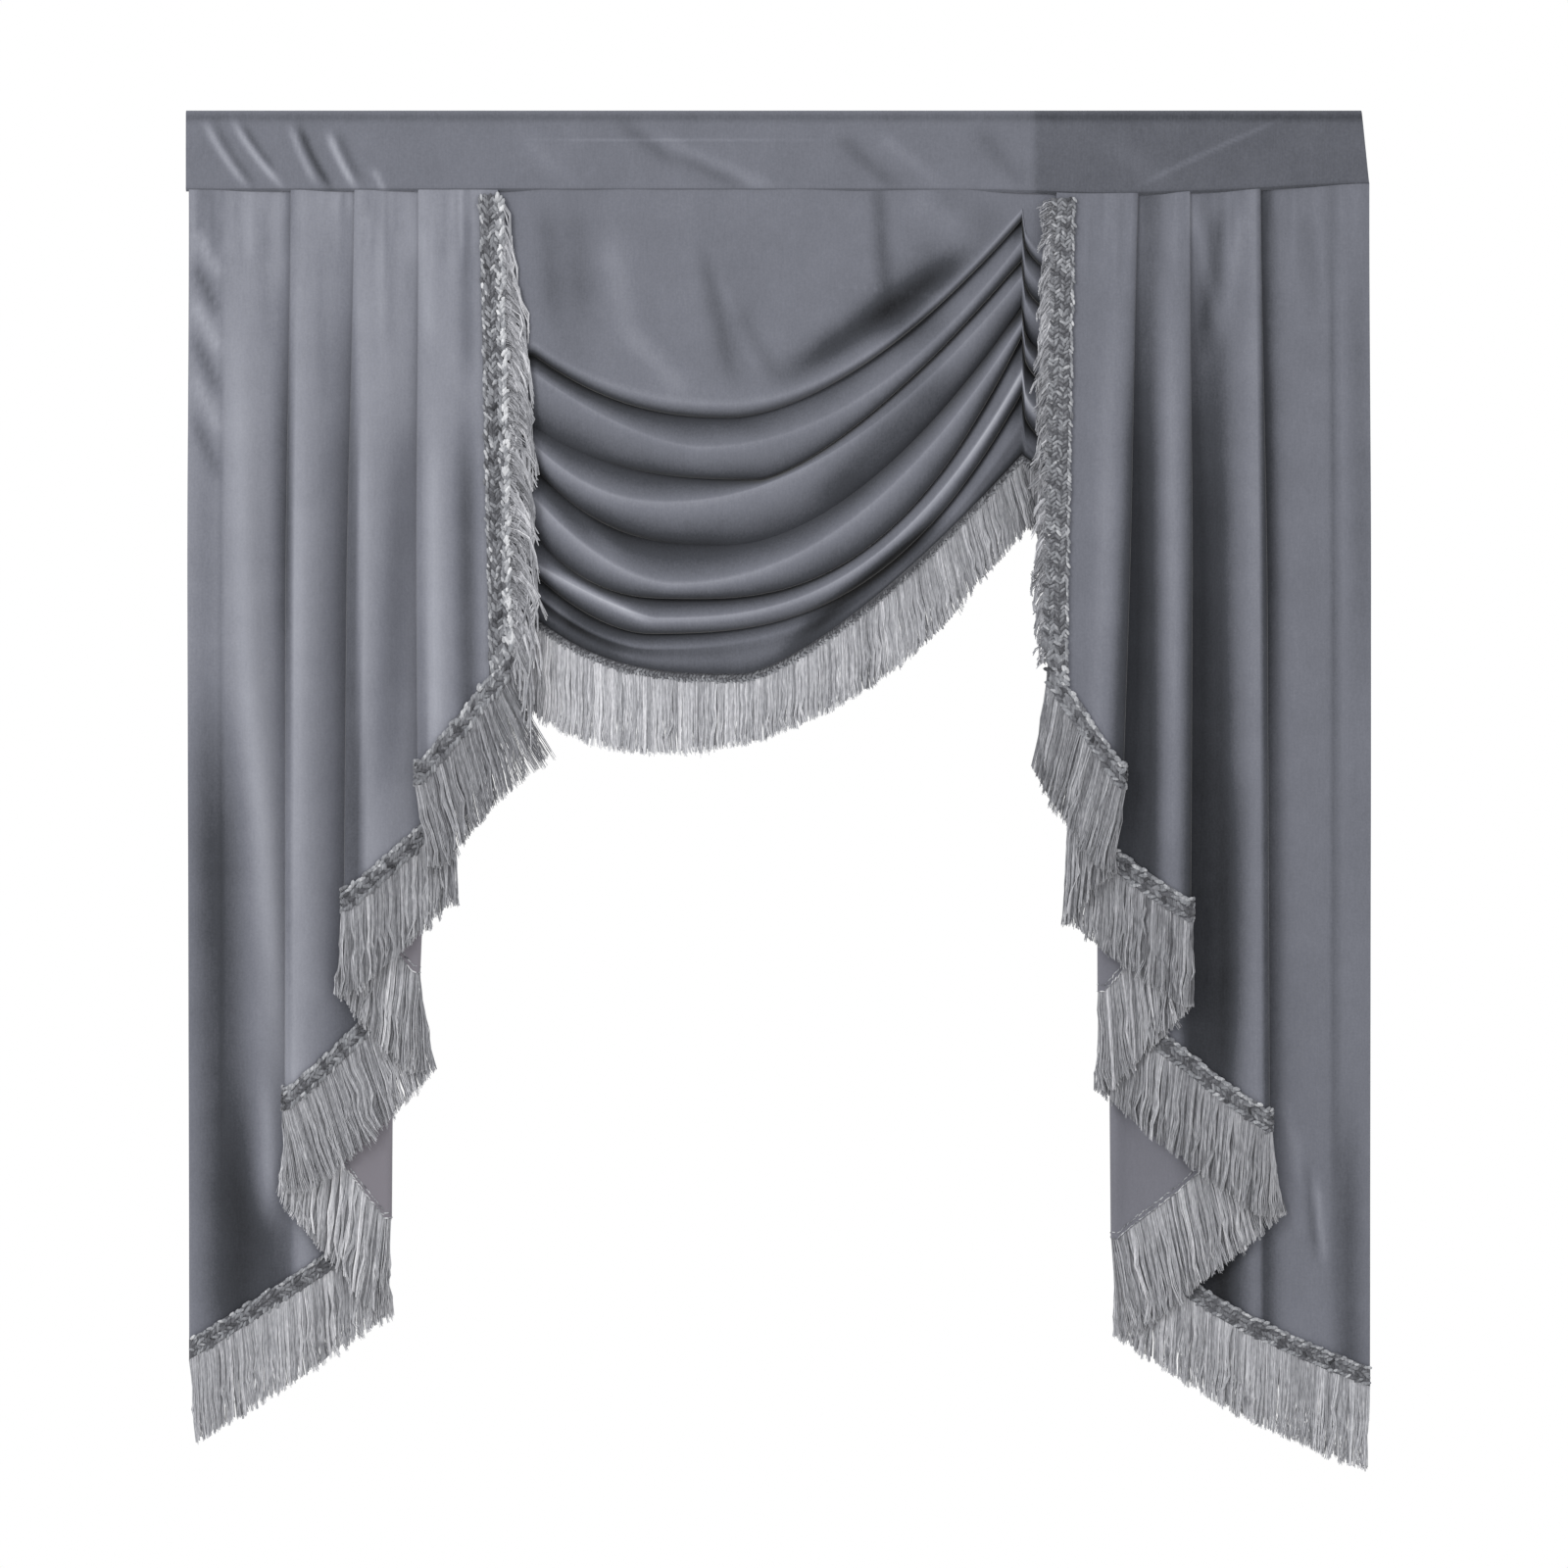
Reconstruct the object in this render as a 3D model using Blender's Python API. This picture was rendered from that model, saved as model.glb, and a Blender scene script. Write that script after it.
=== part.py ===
"""Swag and cascade valance in velvet with a brush fringe.

Lengths in the tables are millimetres and become metres when a mesh is made.
X runs to the right, Y to the back and Z up. "Drop" is the distance down from the
top edge of the header, and "reach" is the distance out from the centre line.
The origin is the middle of the top edge, on the header's back face.
"""

import math
from collections import namedtuple

import bmesh
import bpy
from mathutils import Vector

MM = 0.001

Crease = namedtuple("Crease", "top_x bottom_x width out")
Row = namedtuple("Row", "name seam_reach hem_reach line_drop heading bow lean")
Line = namedtuple("Line", "seam_reach hem_reach")
SoftFold = namedtuple("SoftFold", "seam_reach hem_reach width out")
SwagLine = namedtuple(
    "SwagLine", "name low_x low_drop left_drop left_bend tape_drop tape_bend out sharp")
Hollow = namedtuple("Hollow", "x drop half_width half_height depth")

# Header: a doubled band, sewn to the top of every hanging piece
HEADER_WIDTH = 1207.0
HEADER_HEIGHT = 82.0
HEADER_THICKNESS = 3.0
HEADER_COLUMNS = 44
HEADER_ROWS = 4
RIGHT_END_SLANT = 8.0
SEAM_GAP = 0.6

# The seam sags under the right tail's pleats and rises towards its outer end
SEAM_SAG = 4.0
SEAM_SAG_PLACE = 340.0
SEAM_SAG_WIDTH = 95.0
SEAM_LIFT = 6.0
SEAM_LIFT_START = 440.0

# Slanted creases pressed into the header: place along the top and the bottom edge,
# half-width, and how far they stand out (or in, where negative). They fade out
# towards both edges, by a power below 1 so that they stay full for most of the way.
HEADER_CREASES = (
    # top_x, bottom_x, width, out
    Crease(-583.0, -540.0, 7.0, 1.0),
    Crease(-557.0, -500.0, 8.0, 1.1),
    Crease(-497.0, -449.0, 8.0, -1.1),
    Crease(-452.0, -428.0, 7.0, 1.2),
    Crease(-150.0, 10.0, 14.0, 0.7),
    Crease(500.0, 350.0, 12.0, 0.6),
)
CREASE_FADE = 0.5

# Tails: pleated panels that step outwards and get longer
TAIL_THICKNESS = 1.3
SEAM_FRONT = -2.35
HEM_FRONT = -24.0
SEAM_PITCH = 1.7
FOLD_PITCH = 8.0
TUCK_PITCH = 12.0
SPREAD_DROP = 520.0
SPREAD_ROWS = 8
HALF_LEVEL = SPREAD_ROWS + 1
HEADING_LEVEL = SPREAD_ROWS + 2
HEM_LEVEL = SPREAD_ROWS + 3
FRINGE_LEVEL = SPREAD_ROWS + 4
HEM_BELOW_HEADING_TOP = 8.0
TURN_STEPS = 3
FIRST_PANEL_STEPS = 4
SLOPE_STEPS = 4
LINE_MARGIN = 3.0
SHARPEST_MITRE = 0.5

# A row for each edge or fold, in sewing order from the swag outwards. A panel lies
# between two rows. line_drop is where the top of the fringe's heading crosses the
# cloth, heading is the heading's height there, bow is how far that line sags in the
# panel that starts at the row, and lean is how far that panel's locks swing inwards.
LEFT_TAIL = (
    # name, seam_reach, hem_reach, line_drop, heading, bow, lean
    Row("inner_edge", 285.5, 273.5, 555.0, 29.0, 0.0, 22.0),
    Row("fold_1", 365.5, 368.5, 662.0, 27.0, 0.0, 0.0),
    Row("tuck_1", 330.5, 335.5, 699.0, 26.0, 2.0, 11.0),
    Row("fold_2", 430.5, 443.5, 792.0, 25.0, 0.0, 0.0),
    Row("tuck_2", 338.5, 351.5, 875.0, 24.0, 3.0, 7.0),
    Row("fold_3", 495.5, 503.5, 994.0, 24.0, 2.0, 0.0),
    Row("tuck_3", 393.5, 401.5, 1124.0, 22.0, 3.0, 4.0),
    Row("outer_edge", 600.5, 597.5, 1251.0, 21.0, 0.0, 0.0),
)
RIGHT_TAIL = (
    # name, seam_reach, hem_reach, line_drop, heading, bow, lean
    Row("inner_edge", 284.5, 274.5, 559.0, 29.0, 0.0, 22.0),
    Row("fold_1", 366.5, 353.5, 665.0, 27.0, 0.0, 0.0),
    Row("tuck_1", 311.5, 301.5, 719.0, 26.0, 2.0, 11.0),
    Row("fold_2", 419.5, 421.5, 802.0, 25.0, 0.0, 0.0),
    Row("tuck_2", 331.5, 333.5, 891.0, 24.0, 3.0, 7.0),
    Row("fold_3", 491.5, 503.5, 1017.0, 24.0, 2.0, 0.0),
    Row("tuck_3", 339.5, 348.5, 1146.0, 22.0, 12.0, 4.0),
    Row("outer_edge", 603.5, 601.5, 1279.0, 20.0, 0.0, 0.0),
)

# Soft secondary folds in the panels, running from the seam to the hem
LEFT_SOFT_FOLDS = (
    # seam_reach, hem_reach, width, out
    SoftFold(398.0, 396.0, 10.0, 3.0),
    SoftFold(470.0, 476.0, 12.0, 3.5),
    SoftFold(566.0, 562.0, 12.0, 5.0),
    SoftFold(535.0, 528.0, 14.0, -4.0),
)
RIGHT_SOFT_FOLDS = (
    # seam_reach, hem_reach, width, out
    SoftFold(396.0, 390.0, 9.0, -4.0),
    SoftFold(455.0, 462.0, 12.0, 4.0),
    SoftFold(569.0, 571.0, 11.0, 5.0),
    SoftFold(540.0, 545.0, 15.0, -4.5),
)

# Swag: horizontal folds between the left tail and a gathering tape at the right,
# past which the cloth falls away again under the right tail
SWAG_THICKNESS_Y = 2.2
SWAG_LEFT_X = -293.5
SWAG_TURN_X = -248.5
TAPE_X = 249.5
SWAG_RIGHT_X = 291.5
SWAG_COLUMNS_LEFT = 24
SWAG_COLUMNS_RIGHT = 3
SWAG_FLAT_ROWS = 4
RETURN_FALL = 30.0
HEM_RETURN_FALL = 24.0
RETURN_BEND = 0.8
SWAG_FRONT = -3.0
SEAM_TUCK = 3.6
TAPE_TUCK = 9.0
TAPE_TUCK_DEPTH = 60.0
TUCK_WIDTH = 60.0
SWAG_BELLY = 16.0
BELLY_DROP = 420.0

# Share of the folds' depth that is left at each gathered end, and the width over
# which they grow to their full depth
LEFT_RELIEF = 0.45
LEFT_RELIEF_WIDTH = 110.0
TAPE_RELIEF = 0.6
TAPE_RELIEF_WIDTH = 90.0

# Ridges stand out and creases lie back. Each line falls from the left end to its
# lowest point and rises to the tape; bend is the power of each side's curve, and
# sharp is how narrow the crease is.
SWAG_LINES = (
    # name, low_x, low_drop, left_drop, left_bend, tape_drop, tape_bend, out, sharp
    SwagLine("ridge_1", -48.0, 300.0, 238.0, 2.3, 101.0, 1.8, 2.0, 1.0),
    SwagLine("crease_1", -48.0, 314.0, 250.0, 2.3, 111.0, 1.8, -10.0, 2.2),
    SwagLine("ridge_2", -78.0, 345.0, 268.0, 1.6, 133.0, 2.3, 3.0, 1.0),
    SwagLine("crease_2", -18.0, 377.0, 323.0, 2.8, 152.0, 1.5, -11.0, 2.4),
    SwagLine("ridge_3", -110.0, 401.0, 341.0, 2.3, 169.0, 2.1, 2.0, 1.0),
    SwagLine("crease_3", -53.0, 444.0, 364.0, 2.8, 199.0, 2.0, -14.0, 1.6),
    SwagLine("ridge_4", -105.0, 484.0, 395.0, 1.8, 216.0, 2.3, 6.0, 1.0),
    SwagLine("crease_4", -88.0, 498.0, 433.0, 3.0, 230.0, 2.8, -10.0, 2.4),
    SwagLine("ridge_5", -123.0, 519.0, 462.0, 1.3, 266.0, 2.8, 4.0, 1.0),
    SwagLine("crease_5", -130.0, 535.0, 480.0, 1.8, 288.0, 2.8, -9.0, 2.0),
    SwagLine("ridge_6", -125.0, 551.0, 497.0, 1.9, 322.0, 2.6, 2.0, 1.0),
    SwagLine("hem", -35.0, 575.0, 516.0, 3.0, 350.0, 1.5, -2.0, 1.0),
)

# Soft hollows in the flat upper part of the swag
SWAG_HOLLOWS = (
    # x, drop, half_width, half_height, depth
    Hollow(-205.0, 190.0, 26.0, 90.0, 3.0),
    Hollow(-40.0, 210.0, 30.0, 80.0, 3.0),
    Hollow(90.0, 170.0, 34.0, 90.0, 3.5),
    Hollow(137.0, 215.0, 36.0, 26.0, 6.0),
)

# Fringe: a braided heading with locks of brushed yarn under it
STITCH_GAP = 0.3
HEADING_THICKNESS = 2.5
LOCK_PITCH = 15.5
LOCK_SHARE = 0.8
LOCK_TAPER = 0.75
TAIL_LOCK_LENGTH = 86.0
SWAG_LOCK_LENGTH = 73.0
SWAG_HEADING_HIDDEN = 10.0
SWAG_HEADING_SHARE = 0.7
SWAG_HEADING_SHOWN = 10.0
EDGE_HEADING_WIDTH = 20.0
EDGE_HEADING_OVERHANG = 1.0
EDGE_LOCK_PITCH = 18.0
EDGE_LOCK_SHARE = 0.65
EDGE_LOCK_LENGTH = 75.0
LEFT_EDGE_LOCK_ANGLE = math.radians(35.0)
RIGHT_EDGE_LOCK_ANGLE = math.radians(22.0)

# The first locks of a hem fan out past the tail's inner corner, each less than the
# one before, and all locks sway a little to either side
CORNER_FAN = 20.0
CORNER_FAN_LOCKS = 5
CORNER_FAN_POWER = 1.5
LOCK_SWAY = 1.2
LOCK_SWAY_STEP = 2.4

FABRIC_COLOUR = (0.170, 0.178, 0.205, 1.0)
FRINGE_COLOUR = (0.300, 0.300, 0.310, 1.0)
CLOTH_ROUGHNESS = 0.85


def clamp(value, low=0.0, high=1.0):
    return max(low, min(high, value))


def lerp(start, end, share):
    return start + (end - start) * share


def smooth(share):
    share = clamp(share)
    return share * share * (3.0 - 2.0 * share)


def bell(distance, width):
    return math.exp(-((distance / width) ** 2))


def seam_drop(x):
    """Drop of the seam between the header and what hangs from it."""
    sag = SEAM_SAG * bell(x - SEAM_SAG_PLACE, SEAM_SAG_WIDTH)
    end = HEADER_WIDTH / 2
    lift = SEAM_LIFT * smooth((x - SEAM_LIFT_START) / (end - SEAM_LIFT_START))
    return HEADER_HEIGHT + sag - lift


def make_material(name, colour):
    material = bpy.data.materials.new(name)
    material.use_nodes = True
    shader = material.node_tree.nodes["Principled BSDF"]
    shader.inputs["Base Color"].default_value = colour
    shader.inputs["Roughness"].default_value = CLOTH_ROUGHNESS
    shader.inputs["Metallic"].default_value = 0.0
    material.diffuse_color = colour
    return material


def add_solid(name, points, faces, colour):
    """Make one closed object from points in millimetres."""
    mesh = bmesh.new()
    corners = [mesh.verts.new(Vector(point) * MM) for point in points]
    for face in faces:
        mesh.faces.new([corners[index] for index in face])
    bmesh.ops.recalc_face_normals(mesh, faces=mesh.faces)
    data = bpy.data.meshes.new(name)
    mesh.to_mesh(data)
    mesh.free()
    data.materials.append(make_material(name, colour))
    solid = bpy.data.objects.new(name, data)
    bpy.context.scene.collection.objects.link(solid)
    return solid


def rim_loop(rows, columns):
    """Indexes around the border of a grid, in order."""
    top = [column for column in range(columns)]
    right = [row * columns + columns - 1 for row in range(1, rows)]
    bottom = [(rows - 1) * columns + column for column in range(columns - 2, -1, -1)]
    left = [row * columns for row in range(rows - 2, 0, -1)]
    return top + right + bottom + left


def grid_faces(rows, columns, start):
    faces = []
    for row in range(rows - 1):
        for column in range(columns - 1):
            corner = start + row * columns + column
            faces.append((corner, corner + 1, corner + columns + 1, corner + columns))
    return faces


def sheet_solid(name, front, back, colour):
    """A sheet with two faces, each a grid of rows, closed around its border."""
    rows = len(front)
    columns = len(front[0])
    points = [point for row in front for point in row]
    points += [point for row in back for point in row]
    offset = rows * columns
    faces = grid_faces(rows, columns, 0) + grid_faces(rows, columns, offset)
    loop = rim_loop(rows, columns)
    for here, there in zip(loop, loop[1:] + loop[:1]):
        faces.append((here, there, there + offset, here + offset))
    return add_solid(name, points, faces, colour)


def header_end(side, share):
    """X of the header's end at a share of its height."""
    end = side * HEADER_WIDTH / 2
    if side > 0:
        end -= RIGHT_END_SLANT * (1.0 - share)
    return end


def header_relief(x, share):
    relief = 0.0
    for crease in HEADER_CREASES:
        middle = lerp(crease.top_x, crease.bottom_x, share)
        relief += crease.out * bell(x - middle, crease.width)
    return relief * math.sin(math.pi * share) ** CREASE_FADE


def make_header():
    """The band: creased in front, with one flat face at the back."""
    points = []
    for row in range(HEADER_ROWS + 1):
        share = row / HEADER_ROWS
        for column in range(HEADER_COLUMNS + 1):
            x = lerp(header_end(-1, share), header_end(1, share), column / HEADER_COLUMNS)
            y = -HEADER_THICKNESS - header_relief(x, share)
            points.append((x, y, -share * seam_drop(x)))
    rows = HEADER_ROWS + 1
    columns = HEADER_COLUMNS + 1
    faces = grid_faces(rows, columns, 0)
    loop = rim_loop(rows, columns)
    offset = len(points)
    points += [(points[index][0], 0.0, points[index][2]) for index in loop]
    count = len(loop)
    for place in range(count):
        after = (place + 1) % count
        faces.append((loop[place], loop[after], offset + after, offset + place))
    faces.append(tuple(offset + place for place in range(count)))
    add_solid("header_band", points, faces, FABRIC_COLOUR)


class Tail:
    """A cascade tail, measured out from the centre line on its own side."""

    def __init__(self, side, table, soft_folds):
        self.side = side
        self.rows = table
        self.soft_folds = soft_folds
        self.fold_rows = [row for row in table[1:] if not row.name.startswith("tuck")]

    def seam(self, reach):
        return seam_drop(self.side * reach) + SEAM_GAP

    def line_reach(self, row, drop):
        """Reach of a fold line at a drop, level below its own hem."""
        start = self.seam(row.seam_reach)
        share = clamp((drop - start) / (row.line_drop - start))
        return lerp(row.seam_reach, row.hem_reach, share)

    def depth(self, panel, reach, drop):
        """Y of a panel. Every fold line lies in one front plane, and each later
        panel slopes back behind the one before it."""
        spread = smooth((drop - HEADER_HEIGHT) / (SPREAD_DROP - HEADER_HEIGHT))
        fold_pitch = lerp(SEAM_PITCH, FOLD_PITCH, spread)
        step = fold_pitch + lerp(SEAM_PITCH, TUCK_PITCH, spread)
        y = lerp(SEAM_FRONT, HEM_FRONT, spread)
        for number in range(panel // 2):
            inner = self.line_reach(self.fold_rows[number], drop)
            outer = self.line_reach(self.fold_rows[number + 1], drop)
            y += step * smooth((outer - reach) / (outer - inner))
        if panel % 2:
            y += fold_pitch
        return y - self.soft_relief(reach, drop, spread)

    def soft_relief(self, reach, drop, spread):
        relief = 0.0
        down = clamp(drop / self.rows[-1].line_drop)
        for fold in self.soft_folds:
            middle = lerp(fold.seam_reach, fold.hem_reach, down)
            relief += fold.out * spread * bell(reach - middle, fold.width)
        return relief

    def panel_samples(self, panel):
        """The lines that a panel is built on: its two edges and, between them,
        lines that cut each slope between folds evenly."""
        first, last = self.rows[panel], self.rows[panel + 1]
        if panel == 0:
            return [line_between(first, last, step / FIRST_PANEL_STEPS)
                    for step in range(FIRST_PANEL_STEPS + 1)]
        between = []
        for inner, outer in zip(self.fold_rows, self.fold_rows[1:]):
            for step in range(SLOPE_STEPS + 1):
                line = line_between(inner, outer, step / SLOPE_STEPS)
                if line not in between and is_inside(line, first, last):
                    between.append(line)
        between.sort(reverse=panel % 2 == 1)
        return [line_between(first, last, 0.0)] + between + [line_between(first, last, 1.0)]

    def panel_point(self, panel, line, level):
        """(reach, y, drop) on a panel's line at one level."""
        first, last = self.rows[panel], self.rows[panel + 1]
        along = (line.hem_reach - first.hem_reach) / (last.hem_reach - first.hem_reach)
        heading_top = lerp(first.line_drop, last.line_drop, along)
        heading_top += first.bow * math.sin(math.pi * along)
        heading = lerp(first.heading, last.heading, along)
        seam = self.seam(line.seam_reach)
        drop = level_drop(level, seam, heading_top, heading)
        share = (drop - seam) / (heading_top - seam)
        reach = lerp(line.seam_reach, line.hem_reach, share)
        return reach, self.depth(panel, reach, drop), drop

    def section(self, level):
        """Centre line of the cloth at one level, from the inner to the outer edge."""
        line = []
        last_panel = len(self.rows) - 2
        for panel in range(last_panel + 1):
            line += [self.panel_point(panel, sample, level)
                     for sample in self.panel_samples(panel)]
            if panel < last_panel:
                line += self.turn(panel, level)
        return line

    def turn(self, panel, level):
        """Points round a fold, which stands outwards, or a tuck, inwards."""
        row = self.rows[panel + 1]
        edge = line_between(row, row, 0.0)
        reach, y_start, drop = self.panel_point(panel, edge, level)
        y_end = self.panel_point(panel + 1, edge, level)[1]
        way = 1.0 if panel % 2 == 0 else -1.0
        radius = (y_end - y_start) / 2
        arc = []
        for step in range(1, TURN_STEPS):
            angle = math.pi * step / TURN_STEPS
            arc.append((reach + way * radius * math.sin(angle),
                        y_start + radius * (1.0 - math.cos(angle)), drop))
        return arc

    def offset(self, line, distance):
        """Shift a centre line to the face side by a distance, as frame points."""
        shifted = []
        for index, (reach, y, drop) in enumerate(line):
            before = line[max(index - 1, 0)]
            after = line[min(index + 1, len(line) - 1)]
            inward = Vector((reach - before[0], y - before[1]))
            outward = Vector((after[0] - reach, after[1] - y))
            inward = inward.normalized() if inward.length else outward.normalized()
            outward = outward.normalized() if outward.length else inward
            along = (inward + outward).normalized()
            stretch = distance / max(along.dot(outward), SHARPEST_MITRE)
            shifted.append((self.side * (reach + along.y * stretch),
                            y - along.x * stretch, -drop))
        return shifted


def line_between(first, last, share):
    return Line(lerp(first.seam_reach, last.seam_reach, share),
                lerp(first.hem_reach, last.hem_reach, share))


def is_inside(line, first, last):
    """True where a line lies well inside a panel at the seam and at the hem."""
    for place, one, other in ((line.seam_reach, first.seam_reach, last.seam_reach),
                              (line.hem_reach, first.hem_reach, last.hem_reach)):
        if not min(one, other) + LINE_MARGIN < place < max(one, other) - LINE_MARGIN:
            return False
    return True


def level_drop(level, seam, heading_top, heading):
    """Drop of a level. The first ones are the same on every panel, where the folds
    open. Then come one half-way to the heading, the heading's top, the cloth's hem
    behind the heading, and the heading's lower edge."""
    if level <= SPREAD_ROWS:
        return lerp(seam, SPREAD_DROP, level / SPREAD_ROWS)
    below = {HALF_LEVEL: (SPREAD_DROP - heading_top) / 2, HEADING_LEVEL: 0.0,
             HEM_LEVEL: HEM_BELOW_HEADING_TOP, FRINGE_LEVEL: heading}
    return heading_top + below[level]


def make_tail(name, tail):
    lines = [tail.section(level) for level in range(HEM_LEVEL + 1)]
    half = TAIL_THICKNESS / 2
    face = [tail.offset(line, half) for line in lines]
    wrong = [tail.offset(line, -half) for line in lines]
    sheet_solid(name, face, wrong, FABRIC_COLOUR)


def fringe_solid(name, stations, locks):
    """A heading with locks.

    A station holds four points: the free side's near and far corner, then the root
    side's near and far corner. Each lock grows from the root side of one cell, and
    locks[cell] holds the shift of its tip.
    """
    points = [point for station in stations for point in station]
    faces = [(0, 1, 3, 2)]
    for cell in range(len(stations) - 1):
        here, there = 4 * cell, 4 * cell + 4
        faces.append((here, there, there + 1, here + 1))
        faces.append((here, there, there + 2, here + 2))
        faces.append((here + 1, there + 1, there + 3, here + 3))
        root = (here + 2, there + 2, there + 3, here + 3)
        if cell in locks:
            faces += add_lock(points, root, locks[cell])
        else:
            faces.append(root)
    last = 4 * (len(stations) - 1)
    faces.append((last, last + 1, last + 3, last + 2))
    add_solid(name, points, faces, FRINGE_COLOUR)


def add_lock(points, root, shift):
    """Grow a tapered four-sided lock from a root face."""
    corners = [Vector(points[index]) for index in root]
    middle = sum(corners, Vector()) / 4
    start = len(points)
    for corner in corners:
        points.append(tuple(middle + Vector(shift) + (corner - middle) * LOCK_TAPER))
    tip = tuple(range(start, start + 4))
    sides = [(root[side], root[(side + 1) % 4], tip[(side + 1) % 4], tip[side])
             for side in range(4)]
    return sides + [tip]


def blend_station(first, last, share):
    return tuple(tuple(Vector(a).lerp(Vector(b), share)) for a, b in zip(first, last))


def split_into_locks(stations, pitch, share, panels):
    """Cut each stretch between stations into gaps and lock cells. Returns the new
    stations, and for each lock its cell and its panel."""
    cut = [stations[0]]
    cells = []
    margin = (1.0 - share) / 2
    for first, last, panel in zip(stations, stations[1:], panels):
        length = (Vector(last[2]) - Vector(first[2])).length
        count = 0 if panel is None else round(length / pitch)
        for lock in range(count):
            cut.append(blend_station(first, last, (lock + margin) / count))
            cells.append((len(cut) - 1, panel))
            cut.append(blend_station(first, last, (lock + 1.0 - margin) / count))
        cut.append(last)
    return cut, cells


def lock_sway(number):
    return LOCK_SWAY * math.sin(LOCK_SWAY_STEP * number)


def make_hem_fringe(name, tail):
    """The heading lies on the cloth's face along the hem, round every fold."""
    near = TAIL_THICKNESS / 2 + STITCH_GAP
    far = near + HEADING_THICKNESS
    top, bottom = tail.section(HEADING_LEVEL), tail.section(FRINGE_LEVEL)
    stations = list(zip(tail.offset(top, near), tail.offset(top, far),
                        tail.offset(bottom, near), tail.offset(bottom, far)))
    panels = segment_panels(tail)
    stations, cells = split_into_locks(stations, LOCK_PITCH, LOCK_SHARE, panels)
    locks = {}
    for number, (cell, panel) in enumerate(cells):
        fan = CORNER_FAN * clamp(1.0 - number / CORNER_FAN_LOCKS) ** CORNER_FAN_POWER
        sideways = lock_sway(number) - tail.side * (tail.rows[panel].lean + fan)
        locks[cell] = (sideways, 0.0, -TAIL_LOCK_LENGTH)
    fringe_solid(name, stations, locks)


def segment_panels(tail):
    """The panel that each stretch of a section lies in, or None round a fold."""
    panels = []
    last_panel = len(tail.rows) - 2
    for panel in range(last_panel + 1):
        panels += [panel] * (len(tail.panel_samples(panel)) - 1)
        if panel < last_panel:
            panels += [None] * TURN_STEPS
    return panels


def make_edge_fringe(name, tail, lock_angle):
    """The heading runs down the tail's inner edge, and its locks lie over the swag."""
    edge, fold = tail.rows[0], tail.rows[1]
    hem_slope = (fold.line_drop - edge.line_drop) / (fold.hem_reach - edge.hem_reach)
    top = tail.seam(edge.seam_reach)
    bottom = edge.line_drop - hem_slope * EDGE_HEADING_OVERHANG - STITCH_GAP
    count = round((bottom - top) / EDGE_LOCK_PITCH)
    pitch = (bottom - top) / count
    gap = pitch * (1.0 - EDGE_LOCK_SHARE) / 2
    stations = [edge_station(tail, top, 0.0)]
    locks = {}
    sideways = -tail.side * EDGE_LOCK_LENGTH * math.sin(lock_angle)
    down = -EDGE_LOCK_LENGTH * math.cos(lock_angle)
    for number in range(count):
        start = top + number * pitch
        locks[len(stations)] = (sideways + lock_sway(number), 0.0, down)
        stations.append(edge_station(tail, start + gap, 0.0))
        stations.append(edge_station(tail, start + pitch - gap, 0.0))
    stations.append(edge_station(tail, bottom, hem_slope * EDGE_HEADING_WIDTH))
    fringe_solid(name, stations, locks)


def edge_station(tail, drop, slant):
    """Four corners of the edge heading at a drop; slant lowers its outer side."""
    near = TAIL_THICKNESS / 2 + STITCH_GAP
    far = near + HEADING_THICKNESS
    inner = tail.line_reach(tail.rows[0], drop) - EDGE_HEADING_OVERHANG
    outer = inner + EDGE_HEADING_WIDTH
    corners = []
    for reach, level in ((outer, drop + slant), (inner, drop)):
        y = tail.depth(0, reach, level)
        corners += [(tail.side * reach, y - near, -level), (tail.side * reach, y - far, -level)]
    return tuple(corners)


def line_drop(line, x):
    """Drop of a swag line at x."""
    if x > TAPE_X:
        fall = HEM_RETURN_FALL if line.name == "hem" else RETURN_FALL
        share = (x - TAPE_X) / (SWAG_RIGHT_X - TAPE_X)
        return line.tape_drop + fall * share ** RETURN_BEND
    if x > line.low_x:
        share = (x - line.low_x) / (TAPE_X - line.low_x)
        return lerp(line.low_drop, line.tape_drop, share ** line.tape_bend)
    share = min((line.low_x - x) / (line.low_x - SWAG_TURN_X), 1.0)
    return lerp(line.low_drop, line.left_drop, share ** line.left_bend)


def relief_share(x):
    """How much of the fold depth is left near the ends of the swag."""
    if x < 0.0:
        return lerp(LEFT_RELIEF, 1.0, smooth((x - SWAG_TURN_X) / LEFT_RELIEF_WIDTH))
    return lerp(TAPE_RELIEF, 1.0, smooth(abs(TAPE_X - x) / TAPE_RELIEF_WIDTH))


def swag_base(x, drop):
    """Y of the swag's front without its folds."""
    left = SEAM_TUCK * smooth(1.0 - (x - SWAG_LEFT_X) / TUCK_WIDTH)
    deep = smooth((drop - HEADER_HEIGHT) / TAPE_TUCK_DEPTH)
    right = lerp(SEAM_TUCK, TAPE_TUCK, deep) * smooth(1.0 - (TAPE_X - x) / TUCK_WIDTH)
    across = clamp((x - SWAG_LEFT_X) / (SWAG_RIGHT_X - SWAG_LEFT_X))
    down = smooth((drop - HEADER_HEIGHT) / (BELLY_DROP - HEADER_HEIGHT))
    belly = SWAG_BELLY * math.sin(math.pi * across) * down
    hollow = 0.0
    for place in SWAG_HOLLOWS:
        inside = bell(x - place.x, place.half_width) * bell(drop - place.drop, place.half_height)
        hollow += place.depth * inside
    return SWAG_FRONT + left + right - belly + hollow


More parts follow.
